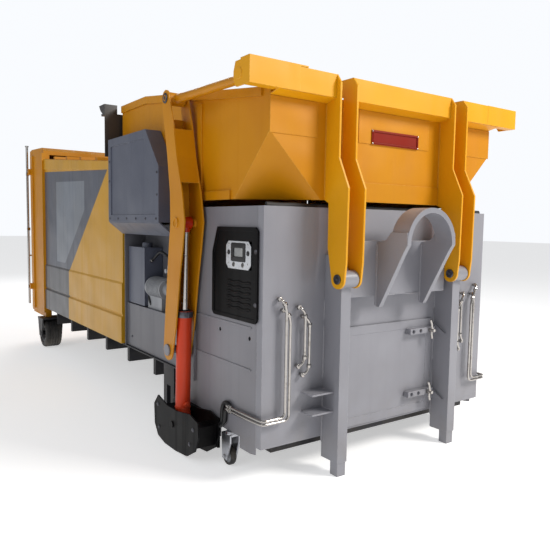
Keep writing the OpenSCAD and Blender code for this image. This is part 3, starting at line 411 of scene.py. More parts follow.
# %% The container's two-tone paint
def paint_fields(tree, place):
    """Yellow, with blue-grey where the least of four signed edge distances is positive."""
    split = wire(tree, "SeparateXYZ", _0=place)
    y = maths(tree, "SUBTRACT", split.outputs["Y"], front_y)
    z = split.outputs["Z"]

    def edge(a, b, c):
        """Signed distance a*y + b*z + c of the point from one straight edge."""
        along = maths(tree, "ADD", maths(tree, "MULTIPLY", y, a), maths(tree, "MULTIPLY", z, b))
        return maths(tree, "ADD", along, c)

    def inside(*edges):
        """1 inside all the edges, 0 outside, with a 3 mm soft border."""
        least = edges[0]
        for other in edges[1:]:
            least = maths(tree, "MINIMUM", least, other)
        return stretch(tree, least, 0.0, 0.003)

    under_band = edge(0.0502, -1.0, 2.144 - 0.0502 * 2.735)
    behind_slant = edge(0.644, 0.765, -(0.644 * 2.716 + 0.765 * 2.134))
    field = inside(under_band, behind_slant, edge(0.0, 1.0, -1.07), edge(-1.0, 0.0, 5.2))
    # pale is the paler field inside the blue-grey: a painted reflection
    pale = inside(edge(0.035, -1.0, 2.07 - 0.035 * 3.42), edge(0.644, 0.765, -3.55),
                  edge(0.0, 1.0, -1.145), edge(-1.0, 0.0, 4.50), edge(1.0, 0.0, -3.42))
    low_band = inside(edge(1.0, 0.0, -3.98), edge(0.0, -1.0, 1.085))
    two_tone = blend_colour(tree, field, rgb(204, 150, 22), rgb(84, 88, 100))
    three = blend_colour(tree, pale, two_tone, rgb(122, 128, 138))
    return blend_colour(tree, low_band, three, rgb(86, 86, 90))


container_paint = painted("container_paint", rgb(198, 146, 24), rgb(96, 88, 66),
                          drift=0.16, waves=1.6, edge=rgb(250, 214, 120), painter=paint_fields)

# %% [markdown]
# The head's sides are grey like the front, and the bay behind the lift arm, under the chute
# guard, is painted darker grey as painted shade. The border is the upright fold 1.2 m behind the
# front plate.

# %% Paint of the head's sides
def bay_shade_field(tree, place):
    """Grey, and dark grey painted shade where y is more than 1.2 m behind the front plate."""
    y = wire(tree, "SeparateXYZ", _0=place).outputs["Y"]
    behind = stretch(tree, y, from_front(1.198), from_front(1.202))
    return blend_colour(tree, behind, rgb(128, 127, 133), rgb(98, 98, 104))


head_side_paint = painted("head_side_paint", rgb(128, 127, 133), rgb(94, 93, 99),
                          edge=rgb(190, 190, 196), painter=bay_shade_field)

# %% [markdown]
# Bare metals: bright chromed rod and pipe, turned pins, zinc-plated castors, and brushed
# trim on the control panel. All are full metals, and only grain and spots set them apart.
# The eye at the top of each lift rod is the exception: it is painted red.

# %% Steel finishes
def steel(name, colour, rough, spot_colour, grain=(30.0, 30.0, 300.0), spots=0.2,
          depth=0.00002, painted_above=None):
    """Bare or plated metal: grain lines in the height, spots in colour and roughness. Where
    painted_above is given, what is higher than it is red enamel instead."""
    finish, tree, shader, place = start_finish(name)
    mark = group_node(tree, metal_grain, Vector=place, Stretch=grain)
    rim = group_node(tree, edge_round_and_highlight, Vector=place, Radius=0.002)
    stained = maths(tree, "MULTIPLY", mark.outputs["Spots"], spots)
    surface_colour = blend_colour(tree, stained, colour, spot_colour)
    tree.links.new(maths(tree, "ADD", rough, maths(
        tree, "MULTIPLY", mark.outputs["Spots"], spots * 0.6)), shader.inputs["Roughness"])
    bump(tree, shader, maths(tree, "MULTIPLY", mark.outputs["Grain"], depth),
         rim.outputs["Normal"])
    shader.inputs["Metallic"].default_value = 1.0
    if painted_above is not None:
        height = wire(tree, "SeparateXYZ", _0=place).outputs["Z"]
        enamel = stretch(tree, height, painted_above, painted_above + 0.002)
        surface_colour = blend_colour(tree, enamel, surface_colour, rgb(176, 42, 14))
        tree.links.new(maths(tree, "SUBTRACT", 1.0, enamel), shader.inputs["Metallic"])
    tree.links.new(surface_colour, shader.inputs["Base Color"])
    return finish


rod_steel = steel("rod_steel", rgb(178, 174, 170), 0.16, rgb(128, 116, 104), spots=0.3,
                  painted_above=1.574)
bright_steel = steel("bright_steel", rgb(178, 174, 170), 0.16, rgb(128, 116, 104), spots=0.3)
pin_steel = steel("pin_steel", rgb(96, 96, 102), 0.34, rgb(60, 46, 38), spots=0.6)
castor_zinc = steel("castor_zinc", rgb(176, 178, 184), 0.3, rgb(120, 112, 100), spots=0.5)
screen_bezel = steel("screen_bezel", rgb(208, 210, 214), 0.22, rgb(180, 180, 184),
                     grain=(300.0, 300.0, 20.0))

# %% [markdown]
# Rubber and plastics. Rubber is nearly black, dull, and greyed by dust in its low parts.
# The screen is a grey pane behind a clear coat. The buttons are dark moulded plastic.

# %% Rubber, glass and plastic finishes
def moulded(name, colour, pale, rough, scale, depth, dust=0.0, coat=0.0):
    """A moulded material: two close colours by noise, fine grain bump, optional dust."""
    finish, tree, shader, place = start_finish(name)
    cloud = wire(tree, "TexNoise", Vector=place, Scale=9.0, Detail=6.0)
    mixed = blend_colour(tree, stretch(tree, cloud.outputs[0], 0.4, 0.75), colour, pale)
    low = group_node(tree, road_dust, Vector=place, Top=0.6, Amount=dust)
    tree.links.new(blend_colour(tree, low.outputs["Dust"], mixed, dust_colour),
                   shader.inputs["Base Color"])
    tree.links.new(maths(tree, "ADD", rough, maths(tree, "MULTIPLY", cloud.outputs[0], 0.12)),
                   shader.inputs["Roughness"])
    grain = wire(tree, "TexVoronoi", Vector=place, Scale=scale)
    rim = group_node(tree, edge_round_and_highlight, Vector=place, Radius=0.0015)
    bump(tree, shader, maths(tree, "MULTIPLY", grain.outputs[0], depth), rim.outputs["Normal"])
    shader.inputs["Coat Weight"].default_value = coat
    return finish


rubber = moulded("rubber", rgb(28, 27, 28), rgb(46, 44, 43), 0.55, 420.0, 0.0004, dust=0.5)
hose_rubber = moulded("hose_rubber", rgb(20, 20, 22), rgb(32, 31, 32), 0.4, 700.0, 0.0002)
screen_glass = moulded("screen_glass", rgb(110, 112, 112), rgb(148, 148, 146), 0.06, 900.0, 0.00001,
                       coat=1.0)
button_dark = moulded("button_dark", rgb(40, 39, 37), rgb(62, 60, 57), 0.3, 900.0, 0.00002,
                      coat=0.5)
knob_black = moulded("knob_black", rgb(22, 22, 24), rgb(34, 34, 36), 0.35, 900.0, 0.00002)

# %% [markdown]
# The floor is plain and pale.

# %% Floor
floor_finish, tree, shader, place = start_finish("studio_floor")
cloud = wire(tree, "TexNoise", Vector=place, Scale=0.6, Detail=2.0)
tree.links.new(blend_colour(tree, cloud.outputs[0], rgb(238, 238, 238), rgb(232, 232, 233)),
               shader.inputs["Base Color"])
shader.inputs["Roughness"].default_value = 0.8
shader.inputs["Emission Color"].default_value = (1.0, 1.0, 1.0, 1.0)
shader.inputs["Emission Strength"].default_value = 0.5
floor_mesh = bpy.data.meshes.new("studio_floor")
reach = 60.0
floor_mesh.from_pydata([(-reach, -reach, 0), (reach, -reach, 0), (reach, reach, 0),
                        (-reach, reach, 0)], [], [(0, 1, 2, 3)])
floor = bpy.data.objects.new("studio_floor", floor_mesh)
floor_mesh.materials.append(floor_finish)
scene.collection.objects.link(floor)

# %% [markdown]
# ## Dressing the frame
# Each CAD piece whose shape is already right keeps its shape and only gets its finish.

# %% Finishes for the CAD pieces
finish_of = {
    grey_paint: ["head_front", "post_left", "post_right", "crossbeam", "hook_bail",
                 "inspection_door"],
    head_side_paint: ["head_side_left", "head_side_right"],
    guard_paint: ["chute_guard_left", "chute_guard_right", "control_cabinet", "oil_tank"],
    yellow_paint: ["hopper_shell", "hopper_stiffeners", "container_roof", "lift_arm_left",
                   "lift_arm_right", "rear_frame", "rear_door", "latch_brackets", "link_left",
                   "link_right"],
    lit_yellow_paint: ["lip_beam", "hinge_plates_left", "hinge_plates_right"],
    container_paint: ["container_left", "container_right"],
    shaded_rear_wall_paint: ["chute_rear_wall"],
    dark_paint: ["head_floor", "container_floor", "chassis_rails", "rear_axles", "ram_guide",
                 "press_ram"],
    bracket_black: ["cylinder_bracket_left", "cylinder_bracket_right"],
    red_paint: ["lift_barrel_left", "lift_barrel_right", "press_barrel"],
    plate_red: ["name_plate"],
    motor_paint: ["pump_motor", "valve_block"],
    rod_steel: ["lift_rod_left", "lift_rod_right"],
    bright_steel: ["pipes_left", "pipes_right", "clamp_upper", "clamp_lower", "door_latch"],
    pin_steel: ["hinge_pins"],
    panel_black: ["control_door"],
    screen_bezel: ["screen_unit"],
    button_dark: ["button_start", "button_stop"],
    castor_zinc: ["castor_fork_left", "castor_fork_right"],
    rubber: ["castor_wheel_left", "castor_wheel_right", "rear_wheel_left", "rear_wheel_right"],
}
dressed = set()
for finish, names in finish_of.items():
    for name in names:
        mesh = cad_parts[name].data
        mesh.materials.clear()
        mesh.materials.append(finish)
        dressed.add(name)
print("dressed", len(dressed), "of", len(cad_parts), set(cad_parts) - dressed)

# %% [markdown]
# ## Shape tools
# Every added piece is a surface worked out with whole arrays: a grid of points with two
# parameters, a profile turned about an axis, or a section carried along a path.

# %% Surfaces from grids
def grid_faces(rows, cols, wrap_rows, wrap_cols):
    """Quads between neighbouring grid points: (i,j), (i+1,j), (i+1,j+1), (i,j+1)."""
    i = np.arange(rows if wrap_rows else rows - 1)[:, None]
    j = np.arange(cols if wrap_cols else cols - 1)[None, :]
    i2, j2 = (i + 1) % rows, (j + 1) % cols
    quads = np.stack([i * cols + j, i2 * cols + j, i2 * cols + j2, i * cols + j2], axis=-1)
    return quads.reshape(-1, 4).tolist()


def surface(points, wrap_rows=False, wrap_cols=False, caps=False):
    """A shape (points, faces) from an array of rows x cols x 3, with flat caps on its ends."""
    rows, cols = points.shape[:2]
    faces = grid_faces(rows, cols, wrap_rows, wrap_cols)
    if caps:
        faces += [list(range(cols)), list(range((rows - 1) * cols, rows * cols))]
    return points.reshape(-1, 3), faces


def join(*shapes):
    """Several shapes as one, each with its face numbers moved past the points before it."""
    points, faces, count = [], [], 0
    for shape_points, shape_faces in shapes:
        points.append(shape_points)
        faces += [[k + count for k in face] for face in shape_faces]
        count += len(shape_points)
    return np.concatenate(points), faces


def across(axis):
    """Two unit directions square to the axis and to each other."""
    axis = np.asarray(axis, float)
    helper = np.array((0.0, 0.0, 1.0)) if abs(axis[2]) < 0.9 else np.array((1.0, 0.0, 0.0))
    first = np.cross(axis, helper)
    first /= np.linalg.norm(first)
    return first, np.cross(axis, first)


def turned(profile, centre, axis, sides=48, ripple=None):
    """A profile of (along, radius) turned about an axis through centre:
    point = centre + along*axis + radius*(cos(angle)*e1 + sin(angle)*e2)."""
    profile = np.asarray(profile, float)
    axis = np.asarray(axis, float) / np.linalg.norm(axis)
    e1, e2 = across(axis)
    angle = np.arange(sides) * 2 * math.pi / sides
    along, radius = profile[:, 0][:, None, None], profile[:, 1][:, None, None]
    if ripple is not None:
        radius = radius * ripple(angle)[None, :, None]
    ring = np.cos(angle)[None, :, None] * e1 + np.sin(angle)[None, :, None] * e2
    return surface(np.asarray(centre, float) + along * axis + radius * ring,
                   wrap_cols=True, caps=profile[0, 1] > 0 and profile[-1, 1] > 0)


def closed_turned(section, centre, axis, sides=96, ripple=None):
    """As turned, for a section that is a closed loop, such as a tyre's: both ways wrap."""
    section = np.asarray(section, float)
    axis = np.asarray(axis, float)
    e1, e2 = across(axis)
    angle = np.arange(sides) * 2 * math.pi / sides
    along, radius = section[:, 0][:, None], section[:, 1][:, None]
    if ripple is not None:
        radius = radius + ripple(section[:, 0][:, None], radius, angle[None, :])
    else:
        radius = radius + 0 * angle[None, :]
    ring = np.cos(angle)[:, None] * e1 + np.sin(angle)[:, None] * e2
    points = (np.asarray(centre, float) + along[:, :, None] * axis
              + radius[:, :, None] * ring[None, :, :])
    return surface(points, wrap_rows=True, wrap_cols=True)


def rounded_path(corners, bend, steps=7):
    """Straight runs joined by bends: each corner c becomes the curve
    (1-t)^2*a + 2*t*(1-t)*c + t^2*b, with a and b a bend's length away from it."""
    corners = np.asarray(corners, float)
    t = np.linspace(0, 1, steps)[:, None]
    runs = [corners[:1]]
    for before, corner, after in zip(corners[:-2], corners[1:-1], corners[2:]):
        back, on = before - corner, after - corner
        length_back, length_on = np.linalg.norm(back), np.linalg.norm(on)
        reach_back = min(bend, 0.48 * length_back)
        reach_on = min(bend, 0.48 * length_on)
        a = corner + back / length_back * reach_back
        b = corner + on / length_on * reach_on
        runs.append((1 - t) ** 2 * a + 2 * t * (1 - t) * corner + t ** 2 * b)
    runs.append(corners[-1:])
    return np.concatenate(runs)


def carried(path, section, side_hint=(0.37, 0.61, 0.7), closed=False, scale=None):
    """A closed section (n x 2) carried along a path: point = p + s0*N + s1*B, where N is
    square to the path's tangent T and to the hint, and B = T x N."""
    path = np.asarray(path, float)
    section = np.asarray(section, float)
    if closed:
        tangent = np.roll(path, -1, axis=0) - np.roll(path, 1, axis=0)
    else:
        tangent = np.gradient(path, axis=0)
    tangent /= np.linalg.norm(tangent, axis=1)[:, None]
    normal = np.cross(tangent, np.asarray(side_hint, float))
    normal /= np.linalg.norm(normal, axis=1)[:, None]
    binormal = np.cross(tangent, normal)
    size = np.ones(len(path)) if scale is None else scale
    points = (path[:, None, :]
              + (size[:, None] * section[None, :, 0])[:, :, None] * normal[:, None, :]
              + (size[:, None] * section[None, :, 1])[:, :, None] * binormal[:, None, :])
    return surface(points, wrap_rows=closed, wrap_cols=True, caps=not closed)


def circle(radius, sides=16):
    """A round section."""
    angle = np.arange(sides) * 2 * math.pi / sides
    return np.stack([radius * np.cos(angle), radius * np.sin(angle)], axis=1)


# %% [markdown]
# A finished piece has its normals turned outwards after its doubles are merged. Round parts
# are smooth, and edges sharper than 35 degrees stay crisp.

# %% From a shape to a piece
piece_count = 0
sharp_angle = math.radians(35)


def add_piece(name, shape, finish, body):
    """Puts a shape into a mesh and gives it a finish and a body."""
    global piece_count
    points, faces = shape
    mesh = bpy.data.meshes.new(name)
    mesh.from_pydata(points.tolist(), [], faces)
    work = bmesh.new()
    work.from_mesh(mesh)
    bmesh.ops.remove_doubles(work, verts=work.verts, dist=1e-6)
    bmesh.ops.dissolve_degenerate(work, edges=work.edges, dist=1e-7)
    bmesh.ops.recalc_face_normals(work, faces=work.faces)
    work.to_mesh(mesh)
    work.free()
    mesh.polygons.foreach_set("use_smooth", np.ones(len(mesh.polygons), bool))
    mesh.set_sharp_from_angle(angle=sharp_angle)
    mesh.materials.append(finish)
    piece = bpy.data.objects.new(name, mesh)
    scene.collection.objects.link(piece)
    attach(piece, body)
    piece_count += 1
    return piece


def hex_bolt(centre, axis, size=0.012, head=0.008):
    """A washer, a six-sided head with a chamfer, and a slightly domed top."""
    washer = turned([(0, 0), (0, size * 1.35), (0.0018, size * 1.35), (0.0024, size * 1.25),
                     (0.0024, 0)], centre, axis, 24)
    top = turned([(0.002, 0), (0.002, size), (head * 0.8, size), (head, size * 0.86),
                  (head * 1.04, 0)], centre, axis, 6)
    return join(washer, top)


def weld(start, end, hint, size=0.006):
    """A bead along a line: radius = size*(1 + 0.1*|sin|) every 5 mm, for the laid ripples."""
    start, end = np.asarray(start, float), np.asarray(end, float)
    length = np.linalg.norm(end - start)
    count = int(min(300, max(12, length / 0.0035)))
    t = np.linspace(0, 1, count)[:, None]
    ripple = 1 + 0.14 * np.abs(np.sin(t[:, 0] * length / 0.0075 * math.pi))
    taper = np.clip(np.minimum(t[:, 0], 1 - t[:, 0]) * length / 0.01, 0.3, 1.0)
    return carried(start + t * (end - start), circle(size, 8), hint, scale=ripple * taper)


print("shape tools ready")

# %% [markdown]
# ## Rear rollers
# The machine is rolled off its truck on wide solid rubber rollers. Each is a tyre with
# grooves round it and cross cuts on its shoulders, on a dished hub with six nuts.
# The tyre is a closed section turned about the axle, and its radius is lowered in grooves.

# %% Rear tyres and hubs
axle_y, axle_z, axle_x = from_front(5.0), 0.185, 1.040
tyre_loop = np.array([
    [-0.094, 0.122], [-0.099, 0.135], [-0.0995, 0.160], [-0.094, 0.1745], [-0.084, 0.1815]]
    + [[a, 0.1848] for a in np.linspace(-0.074, 0.074, 61)]
    + [[0.084, 0.1815], [0.094, 0.1745], [0.0995, 0.160], [0.099, 0.135], [0.094, 0.122],
       [0.06, 0.118], [0.0, 0.116], [-0.06, 0.118]])


def tread(along, radius, angle):
    """Depth below the tread: 7 mm in four grooves, 4 mm in cross cuts near both shoulders."""
    grooves = np.exp(-(((np.abs(along) - 0.018) / 0.004) ** 4))
    grooves = np.maximum(grooves, np.exp(-(((np.abs(along) - 0.048) / 0.004) ** 4)))
    cuts = (np.cos(angle * 36 + along * 60) > 0.82) * (np.abs(along) > 0.058)
    outer = radius > 0.178
    return -(0.007 * grooves + 0.004 * cuts) * outer


hub_profile = np.array([[-0.070, 0], [-0.070, 0.030], [-0.060, 0.034], [-0.060, 0.060],
                        [-0.084, 0.088], [-0.090, 0.104], [-0.090, 0.1175], [0.090, 0.1175],
                        [0.090, 0.104], [0.084, 0.088], [0.060, 0.060], [0.060, 0.034],
                        [0.070, 0.030], [0.070, 0]])
for side, sign in (("left", -1), ("right", 1)):
    centre = np.array([sign * axle_x, axle_y, axle_z])
    tyre = add_piece(f"rear_tyre_{side}", closed_turned(tyre_loop, centre, (1, 0, 0), 288, tread),
                     rubber, f"wheel_{side}")
    nuts = []
    for k in range(6):
        turn_k = k * math.pi / 3
        around = np.array([0, math.cos(turn_k), math.sin(turn_k)]) * 0.048
        nuts.append(hex_bolt(centre + around + (sign * 0.0595, 0, 0), (sign, 0, 0), 0.009, 0.011))
    add_piece(f"rear_hub_{side}", join(turned(hub_profile, centre, (1, 0, 0), 72), *nuts),
              dark_paint, f"wheel_{side}")
    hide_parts(f"rear_wheel_{side}")
print("tyre radius", axle_z, "tread points", 288 * len(tyre_loop))

# %% [markdown]
# ## Castors
# A small black wheel turns in a zinc fork under each front corner. The wheel is turned from
# a closed tyre section and a separate grey core with a bearing cap, and the fork keeps its
# CAD shape and gains a bearing race and a bolt head at each end of the axle.

# %% Castor wheels and fittings
castor_x, castor_y, castor_r = 1.060, from_front(0.372), 0.066
castor_axle_y = castor_y + 0.034
castor_loop = np.array([[-0.0175, 0.047], [-0.0195, 0.056], [-0.0185, 0.062], [-0.013, 0.0655],
                        [0, 0.066], [0.013, 0.0655], [0.0185, 0.062], [0.0195, 0.056],
                        [0.0175, 0.047], [0.0, 0.045]])
castor_core = [[-0.0255, 0], [-0.0255, 0.018], [-0.022, 0.022], [-0.012, 0.030], [-0.010, 0.040],
               [-0.016, 0.0465], [0.016, 0.0465], [0.010, 0.040], [0.012, 0.030],
               [0.022, 0.022], [0.0255, 0.018], [0.0255, 0]]
race = [[0, 0], [0, 0.043], [0.003, 0.047], [0.009, 0.047], [0.012, 0.043], [0.012, 0]]
for side, sign in (("left", -1), ("right", 1)):
    hub_centre = np.array([sign * castor_x, castor_axle_y, castor_r])
    tread_ring = add_piece(f"castor_tread_{side}", closed_turned(
        castor_loop, hub_centre, (1, 0, 0), 96), rubber, f"castor_roller_{side}")
    add_piece(f"castor_core_{side}", turned(castor_core, hub_centre, (1, 0, 0), 48),
              motor_paint, f"castor_roller_{side}")
    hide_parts(f"castor_wheel_{side}")
    swivel = np.array([sign * castor_x, castor_y, 0.2265])
    fittings = [turned(race, swivel, (0, 0, 1), 48)]
    for end in (-1, 1):
        fittings.append(hex_bolt(hub_centre + (end * 0.040, 0, 0), (end, 0, 0), 0.010, 0.008))
    add_piece(f"castor_fittings_{side}", join(*fittings), castor_zinc, f"castor_{side}")
print("castors stand at x =", round(castor_x, 3))

# %% [markdown]
# ## Chromed hydraulic pipes
# Thin steel pipes run down the front corners and along each side to the lift cylinders,
# and a rubber hose makes the last, moving stretch. Each is a round section carried along a
# path of straight runs with smooth bends, ending in six-sided union nuts.

# %% Pipes, union nuts and hoses
def hex_nut(centre, axis, size=0.019, length=0.020):
    """A union nut: six flats with both ends chamfered."""
    return turned([(-length / 2, 0), (-length / 2, size * 0.86), (-length * 0.36, size),
                   (length * 0.36, size), (length / 2, size * 0.86), (length / 2, 0)],
                  centre, axis, 6)


def place_on(sign, x, y, z):
    """A point given as x out from the middle, y behind the front plate, z up."""
    return np.array([sign * x, from_front(y), z])


def pipe_route(sign, corners):
    """A list of corner places in millimetres turned to row-frame metres."""
    return np.array([place_on(sign, x * MM, y * MM, z * MM) for x, y, z in corners])


half = 1080
for side, sign in (("left", -1), ("right", 1)):
    pipes, nuts = [], []
    for k in (0, 1):
        x, low_z, side_z = half - 150 - 30 * k, 430 - 22 * k, 422 - 24 * k
        top_z = 1180 - 70 * k
        long_run = [(x + 38, -1, top_z), (x + 38, -46, top_z), (x, -46, top_z - 50),
                    (x, -46, low_z), (half - 60, -46, low_z), (half + 8, -46, low_z),
                    (half + 22, -30, low_z), (half + 22, 200, side_z), (half + 22, 330, side_z)]
        pipes.append(carried(rounded_path(pipe_route(sign, long_run), 0.045, 9),
                             circle(0.009, 20)))
        nuts.append(hex_nut(place_on(sign, (x + 38) * MM, -0.026, top_z * MM), (0, 1, 0),
                            0.017, 0.022))
        fall = np.array([-sign * 0.60, 0, -0.80])
        nuts.append(hex_nut(place_on(sign, (x + 12) * MM, -0.046, (top_z - 32) * MM), fall,
                            0.0155, 0.024))
        nuts.append(hex_nut(place_on(sign, (half + 22) * MM, 0.330, side_z * MM),
                            (0, 1, 0), 0.0160, 0.026))
        x, top_z, low_z = half - 300 - 36 * k, 1120 - 60 * k, 740 - 60 * k
        short_run = [(x + 38, -1, top_z), (x + 38, -44, top_z), (x, -44, top_z - 40),
                     (x, -44, low_z + 40), (x + 38, -44, low_z), (x + 38, -1, low_z)]
        pipes.append(carried(rounded_path(pipe_route(sign, short_run), 0.035, 9),
                             circle(0.009, 20)))
        for z, slope in ((top_z, -1), (low_z, 1)):
            nuts.append(hex_nut(place_on(sign, (x + 38) * MM, -0.026, z * MM), (0, 1, 0),
                                0.017, 0.022))
            nuts.append(hex_nut(place_on(sign, x * MM, -0.044, (z + slope * 58) * MM),
                                (0, 0, 1), 0.0155, 0.026))
    tubes = add_piece(f"front_pipes_{side}", join(*pipes), bright_steel, "frame")
    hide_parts(f"pipes_{side}")
    add_piece(f"union_nuts_{side}", join(*nuts), bright_steel, "frame")
    hoses = [
        [(half + 22, 340, 422), (half + 20, 376, 446), (half + 18, 424, 430),
         (half + 18, 446, 380), (half + 18, 446, 280), (half + 18, 469, 258)],
        [(half + 22, 340, 398), (half + 20, 368, 404), (half + 18, 396, 392),
         (half + 18, 410, 340), (half + 18, 412, 300), (half + 18, 469, 268)]]
    rubber_runs, ferrules = [], []
    for corners in hoses:
        path = rounded_path(pipe_route(sign, corners), 0.05, 9)
        rubber_runs.append(carried(path, circle(0.0155, 20)))
        ferrules.append(turned([(-0.014, 0), (-0.014, 0.0168), (-0.009, 0.0176), (0.0, 0.0168),
                                (0.009, 0.0176), (0.014, 0.0165), (0.014, 0)],
                               path[0] + (0, 0.012, 0.003), (0, 1, 0.25), 32))
    add_piece(f"lift_hoses_{side}", join(*rubber_runs), hose_rubber, "frame")
    add_piece(f"hose_ferrules_{side}", join(*ferrules), bright_steel, "frame")
print("pipe pieces so far", piece_count)

# %% [markdown]
# ## Control panel
# The black door on the left carries a bright screen unit, six wavy air louvres and two
# quarter-turn latches. A rubber lip seals the gap behind it. A louvre is a surface: it
# stands out as half a sine across its height, and waves along its length.

# %% Louvres, latches and door seal
door_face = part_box("control_door")[0].x
panel_y0, panel_y1 = 0.040, 0.600
panel_z0, panel_z1 = 1.020, 1.620


def louvre(z, y0, y1, depth=0.0046, tall=0.017):
    """x = depth*sin(pi*v)^0.7, z = z + tall*(v-1/2) + 3.5 mm*sin(2.5 turns of u), y from y0 to y1."""
    u = np.linspace(0, 1, 90)[:, None]
    v = np.linspace(0, 1, 11)[None, :]
    out = depth * np.sin(math.pi * v) ** 0.7 * np.clip(np.minimum(u, 1 - u) * 24, 0, 1) ** 0.5
    points = np.stack([door_face + 0.0052 - out + 0 * u,
                       from_front(y0 + (y1 - y0) * u) + 0 * v,
                       z + tall * (v - 0.5) + 0.0035 * np.sin(u * 5 * math.pi) + 0 * v], axis=-1)
    front = surface(points)
    flat = points.copy()
    flat[..., 0] = door_face + 0.0056
    return join(front, surface(flat))


add_piece("panel_louvres", join(*[louvre(1.098 + 0.034 * i, 0.116, 0.404) for i in range(6)]),
          panel_black, "panel_door")
latch_turn = [[-0.001, 0], [-0.001, 0.015], [0.0015, 0.015], [0.0035, 0.0125], [0.0035, 0.006],
              [0.0028, 0.0055], [0.0028, 0]]
latches = [turned(latch_turn, (door_face, from_front(0.058), z), (-1, 0, 0), 32)
           for z in (1.14, 1.47)]
add_piece("panel_latches", join(*latches), pin_steel, "panel_door")
outline = np.array([(panel_y0, panel_z0 + 0.024), (panel_y0 + 0.024, panel_z0),
                    (panel_y1 - 0.024, panel_z0), (panel_y1, panel_z0 + 0.024),
                    (panel_y1, panel_z1 - 0.170), (panel_y1 - 0.066, panel_z1),
                    (panel_y0 + 0.024, panel_z1), (panel_y0, panel_z1 - 0.024)])
middle = outline.mean(axis=0)
loop = []
for a, b in zip(outline, np.roll(outline, -1, axis=0)):
    t = np.linspace(0, 1, 12, endpoint=False)[:, None]
    loop.append((a * (1 - t) + b * t - middle) * 0.985 + middle)
loop = np.concatenate(loop)
seal_path = np.stack([np.full(len(loop), -1.0835), from_front(loop[:, 0]), loop[:, 1]], axis=1)
add_piece("panel_seal", carried(seal_path, circle(0.0032, 8), (1, 0, 0), closed=True), rubber,
          "frame")
print("louvres at x =", round(door_face, 4))

# %% [markdown]
# The screen unit is the brightest thing on the panel. A slightly domed pane sits in its
# bezel, framed by a thick dark moulding, a turned knob with a knurled rim stands on each
# side, and four screws hold it. The pane is z = height*(1 - u^8)*(1 - v^8), nearly flat
# with soft edges. The frame is a bevelled section carried round a rounded oblong, where
# each point is the middle plus half the width times cos(angle)*1.35 held within -1 and 1,
# and half the height times sin(angle)*1.35 held the same way.

# %% Screen pane, frame, knobs and screws
screen_y0, screen_z0 = 0.110, 1.350
face_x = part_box("screen_unit")[0].x
u = np.linspace(-1, 1, 41)[:, None]
v = np.linspace(-1, 1, 31)[None, :]
dome = 0.0022 * (1 - u ** 8) * (1 - v ** 8)
pane = np.stack([face_x + 0.0047 - dome, from_front(screen_y0 + 0.150 + 0.0775 * u) + 0 * v,
                 screen_z0 + 0.108 + 0.0495 * v + 0 * u], axis=-1)
back = pane.copy()
back[..., 0] = face_x + 0.0049
add_piece("screen_pane", join(surface(pane), surface(back)), screen_glass, "panel_door")
angle = (np.arange(96) * 2 * math.pi / 96)[None, :]
wide = np.clip(1.35 * np.cos(angle), -1, 1)
tall = np.clip(1.35 * np.sin(angle), -1, 1)
moulding = np.array([[0.055, 0.0012], [0.057, 0.0030], [0.080, 0.0030], [0.087, 0.0018],
                     [0.088, -0.0002], [0.056, -0.0002]])
reach_out, height = moulding[:, :1], moulding[:, 1:]
frame_ring = np.stack([face_x - height + 0 * wide,
                       from_front(screen_y0 + 0.150 + reach_out * wide),
                       screen_z0 + 0.108 + (reach_out - 0.027) * tall], axis=-1)
add_piece("screen_frame", surface(frame_ring, wrap_rows=True, wrap_cols=True), knob_black,
          "panel_door")
knob = [[-0.0002, 0], [-0.0002, 0.016], [0.0012, 0.0165], [0.0024, 0.0150], [0.0030, 0.0120],
        [0.0030, 0.0035], [0.0024, 0.003], [0.0024, 0]]
knobs = [turned(knob, (face_x, from_front(screen_y0 + y), screen_z0 + 0.105), (-1, 0, 0), 96,
                lambda a: 1 + 0.03 * np.cos(a * 24)) for y in (0.034, 0.266)]
add_piece("screen_knobs", join(*knobs), knob_black, "panel_door")
screw = [[-0.0002, 0], [-0.0002, 0.0055], [0.0009, 0.005], [0.0014, 0.003], [0.0014, 0]]
screws = [turned(screw, (face_x, from_front(screen_y0 + y), screen_z0 + z), (-1, 0, 0), 20)
          for y in (0.036, 0.264) for z in (0.036, 0.160)]
collars = [closed_turned([[0.0, 0.0128], [0.0, 0.0165], [0.0016, 0.0158], [0.0020, 0.0140],
                          [0.0012, 0.0128]], (face_x, from_front(screen_y0 + y),
                                              screen_z0 + 0.028), (-1, 0, 0), 40)
           for y in (0.095, 0.205)]
add_piece("screen_screws", join(*screws, *collars), bright_steel, "panel_door")

# %% [markdown]
# ## Lift links
# A round tube with a bored eye at each end ties each arm's head to the hopper's lip beam.
# The tube is a profile turned about its own line, thicker towards the arm, and each eye is a
# closed section turned about its pin, so the bore is really open.

# %% Links
arm_head = (1.000, 2.520)
beam_eye = (0.0, 2.500)
lane_x = 1.182


def eye(centre, inner, outer, wide):
    """A bored ring: a closed four-cornered section with small chamfers, turned about X."""
    c = 0.004
    section = [[-wide, inner], [-wide, outer - c], [-wide + c, outer], [wide - c, outer],
               [wide, outer - c], [wide, inner]]
    return closed_turned(section, centre, (1, 0, 0), 64)


for side, sign in (("left", -1), ("right", 1)):
    top = place_on(sign, lane_x, arm_head[0], arm_head[1])
    low = place_on(sign, lane_x, beam_eye[0], beam_eye[1])
    span = low - top
    length = np.linalg.norm(span)
    tube = [[0.040, 0], [0.040, 0.033], [0.075, 0.034], [0.120, 0.0335], [0.150, 0.030],
            [length - 0.130, 0.0285], [length - 0.100, 0.033], [length - 0.034, 0.033],
            [length - 0.034, 0]]
    link = add_piece(f"link_tube_{side}", join(turned(tube, top, span / length, 40),
                                               eye(top, 0.0221, 0.046, 0.062),
                                               eye(low, 0.0201, 0.038, 0.050)),
                     yellow_paint, f"tie_{side}")
    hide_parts(f"link_{side}")
print("link length", round(float(length), 3), "m")

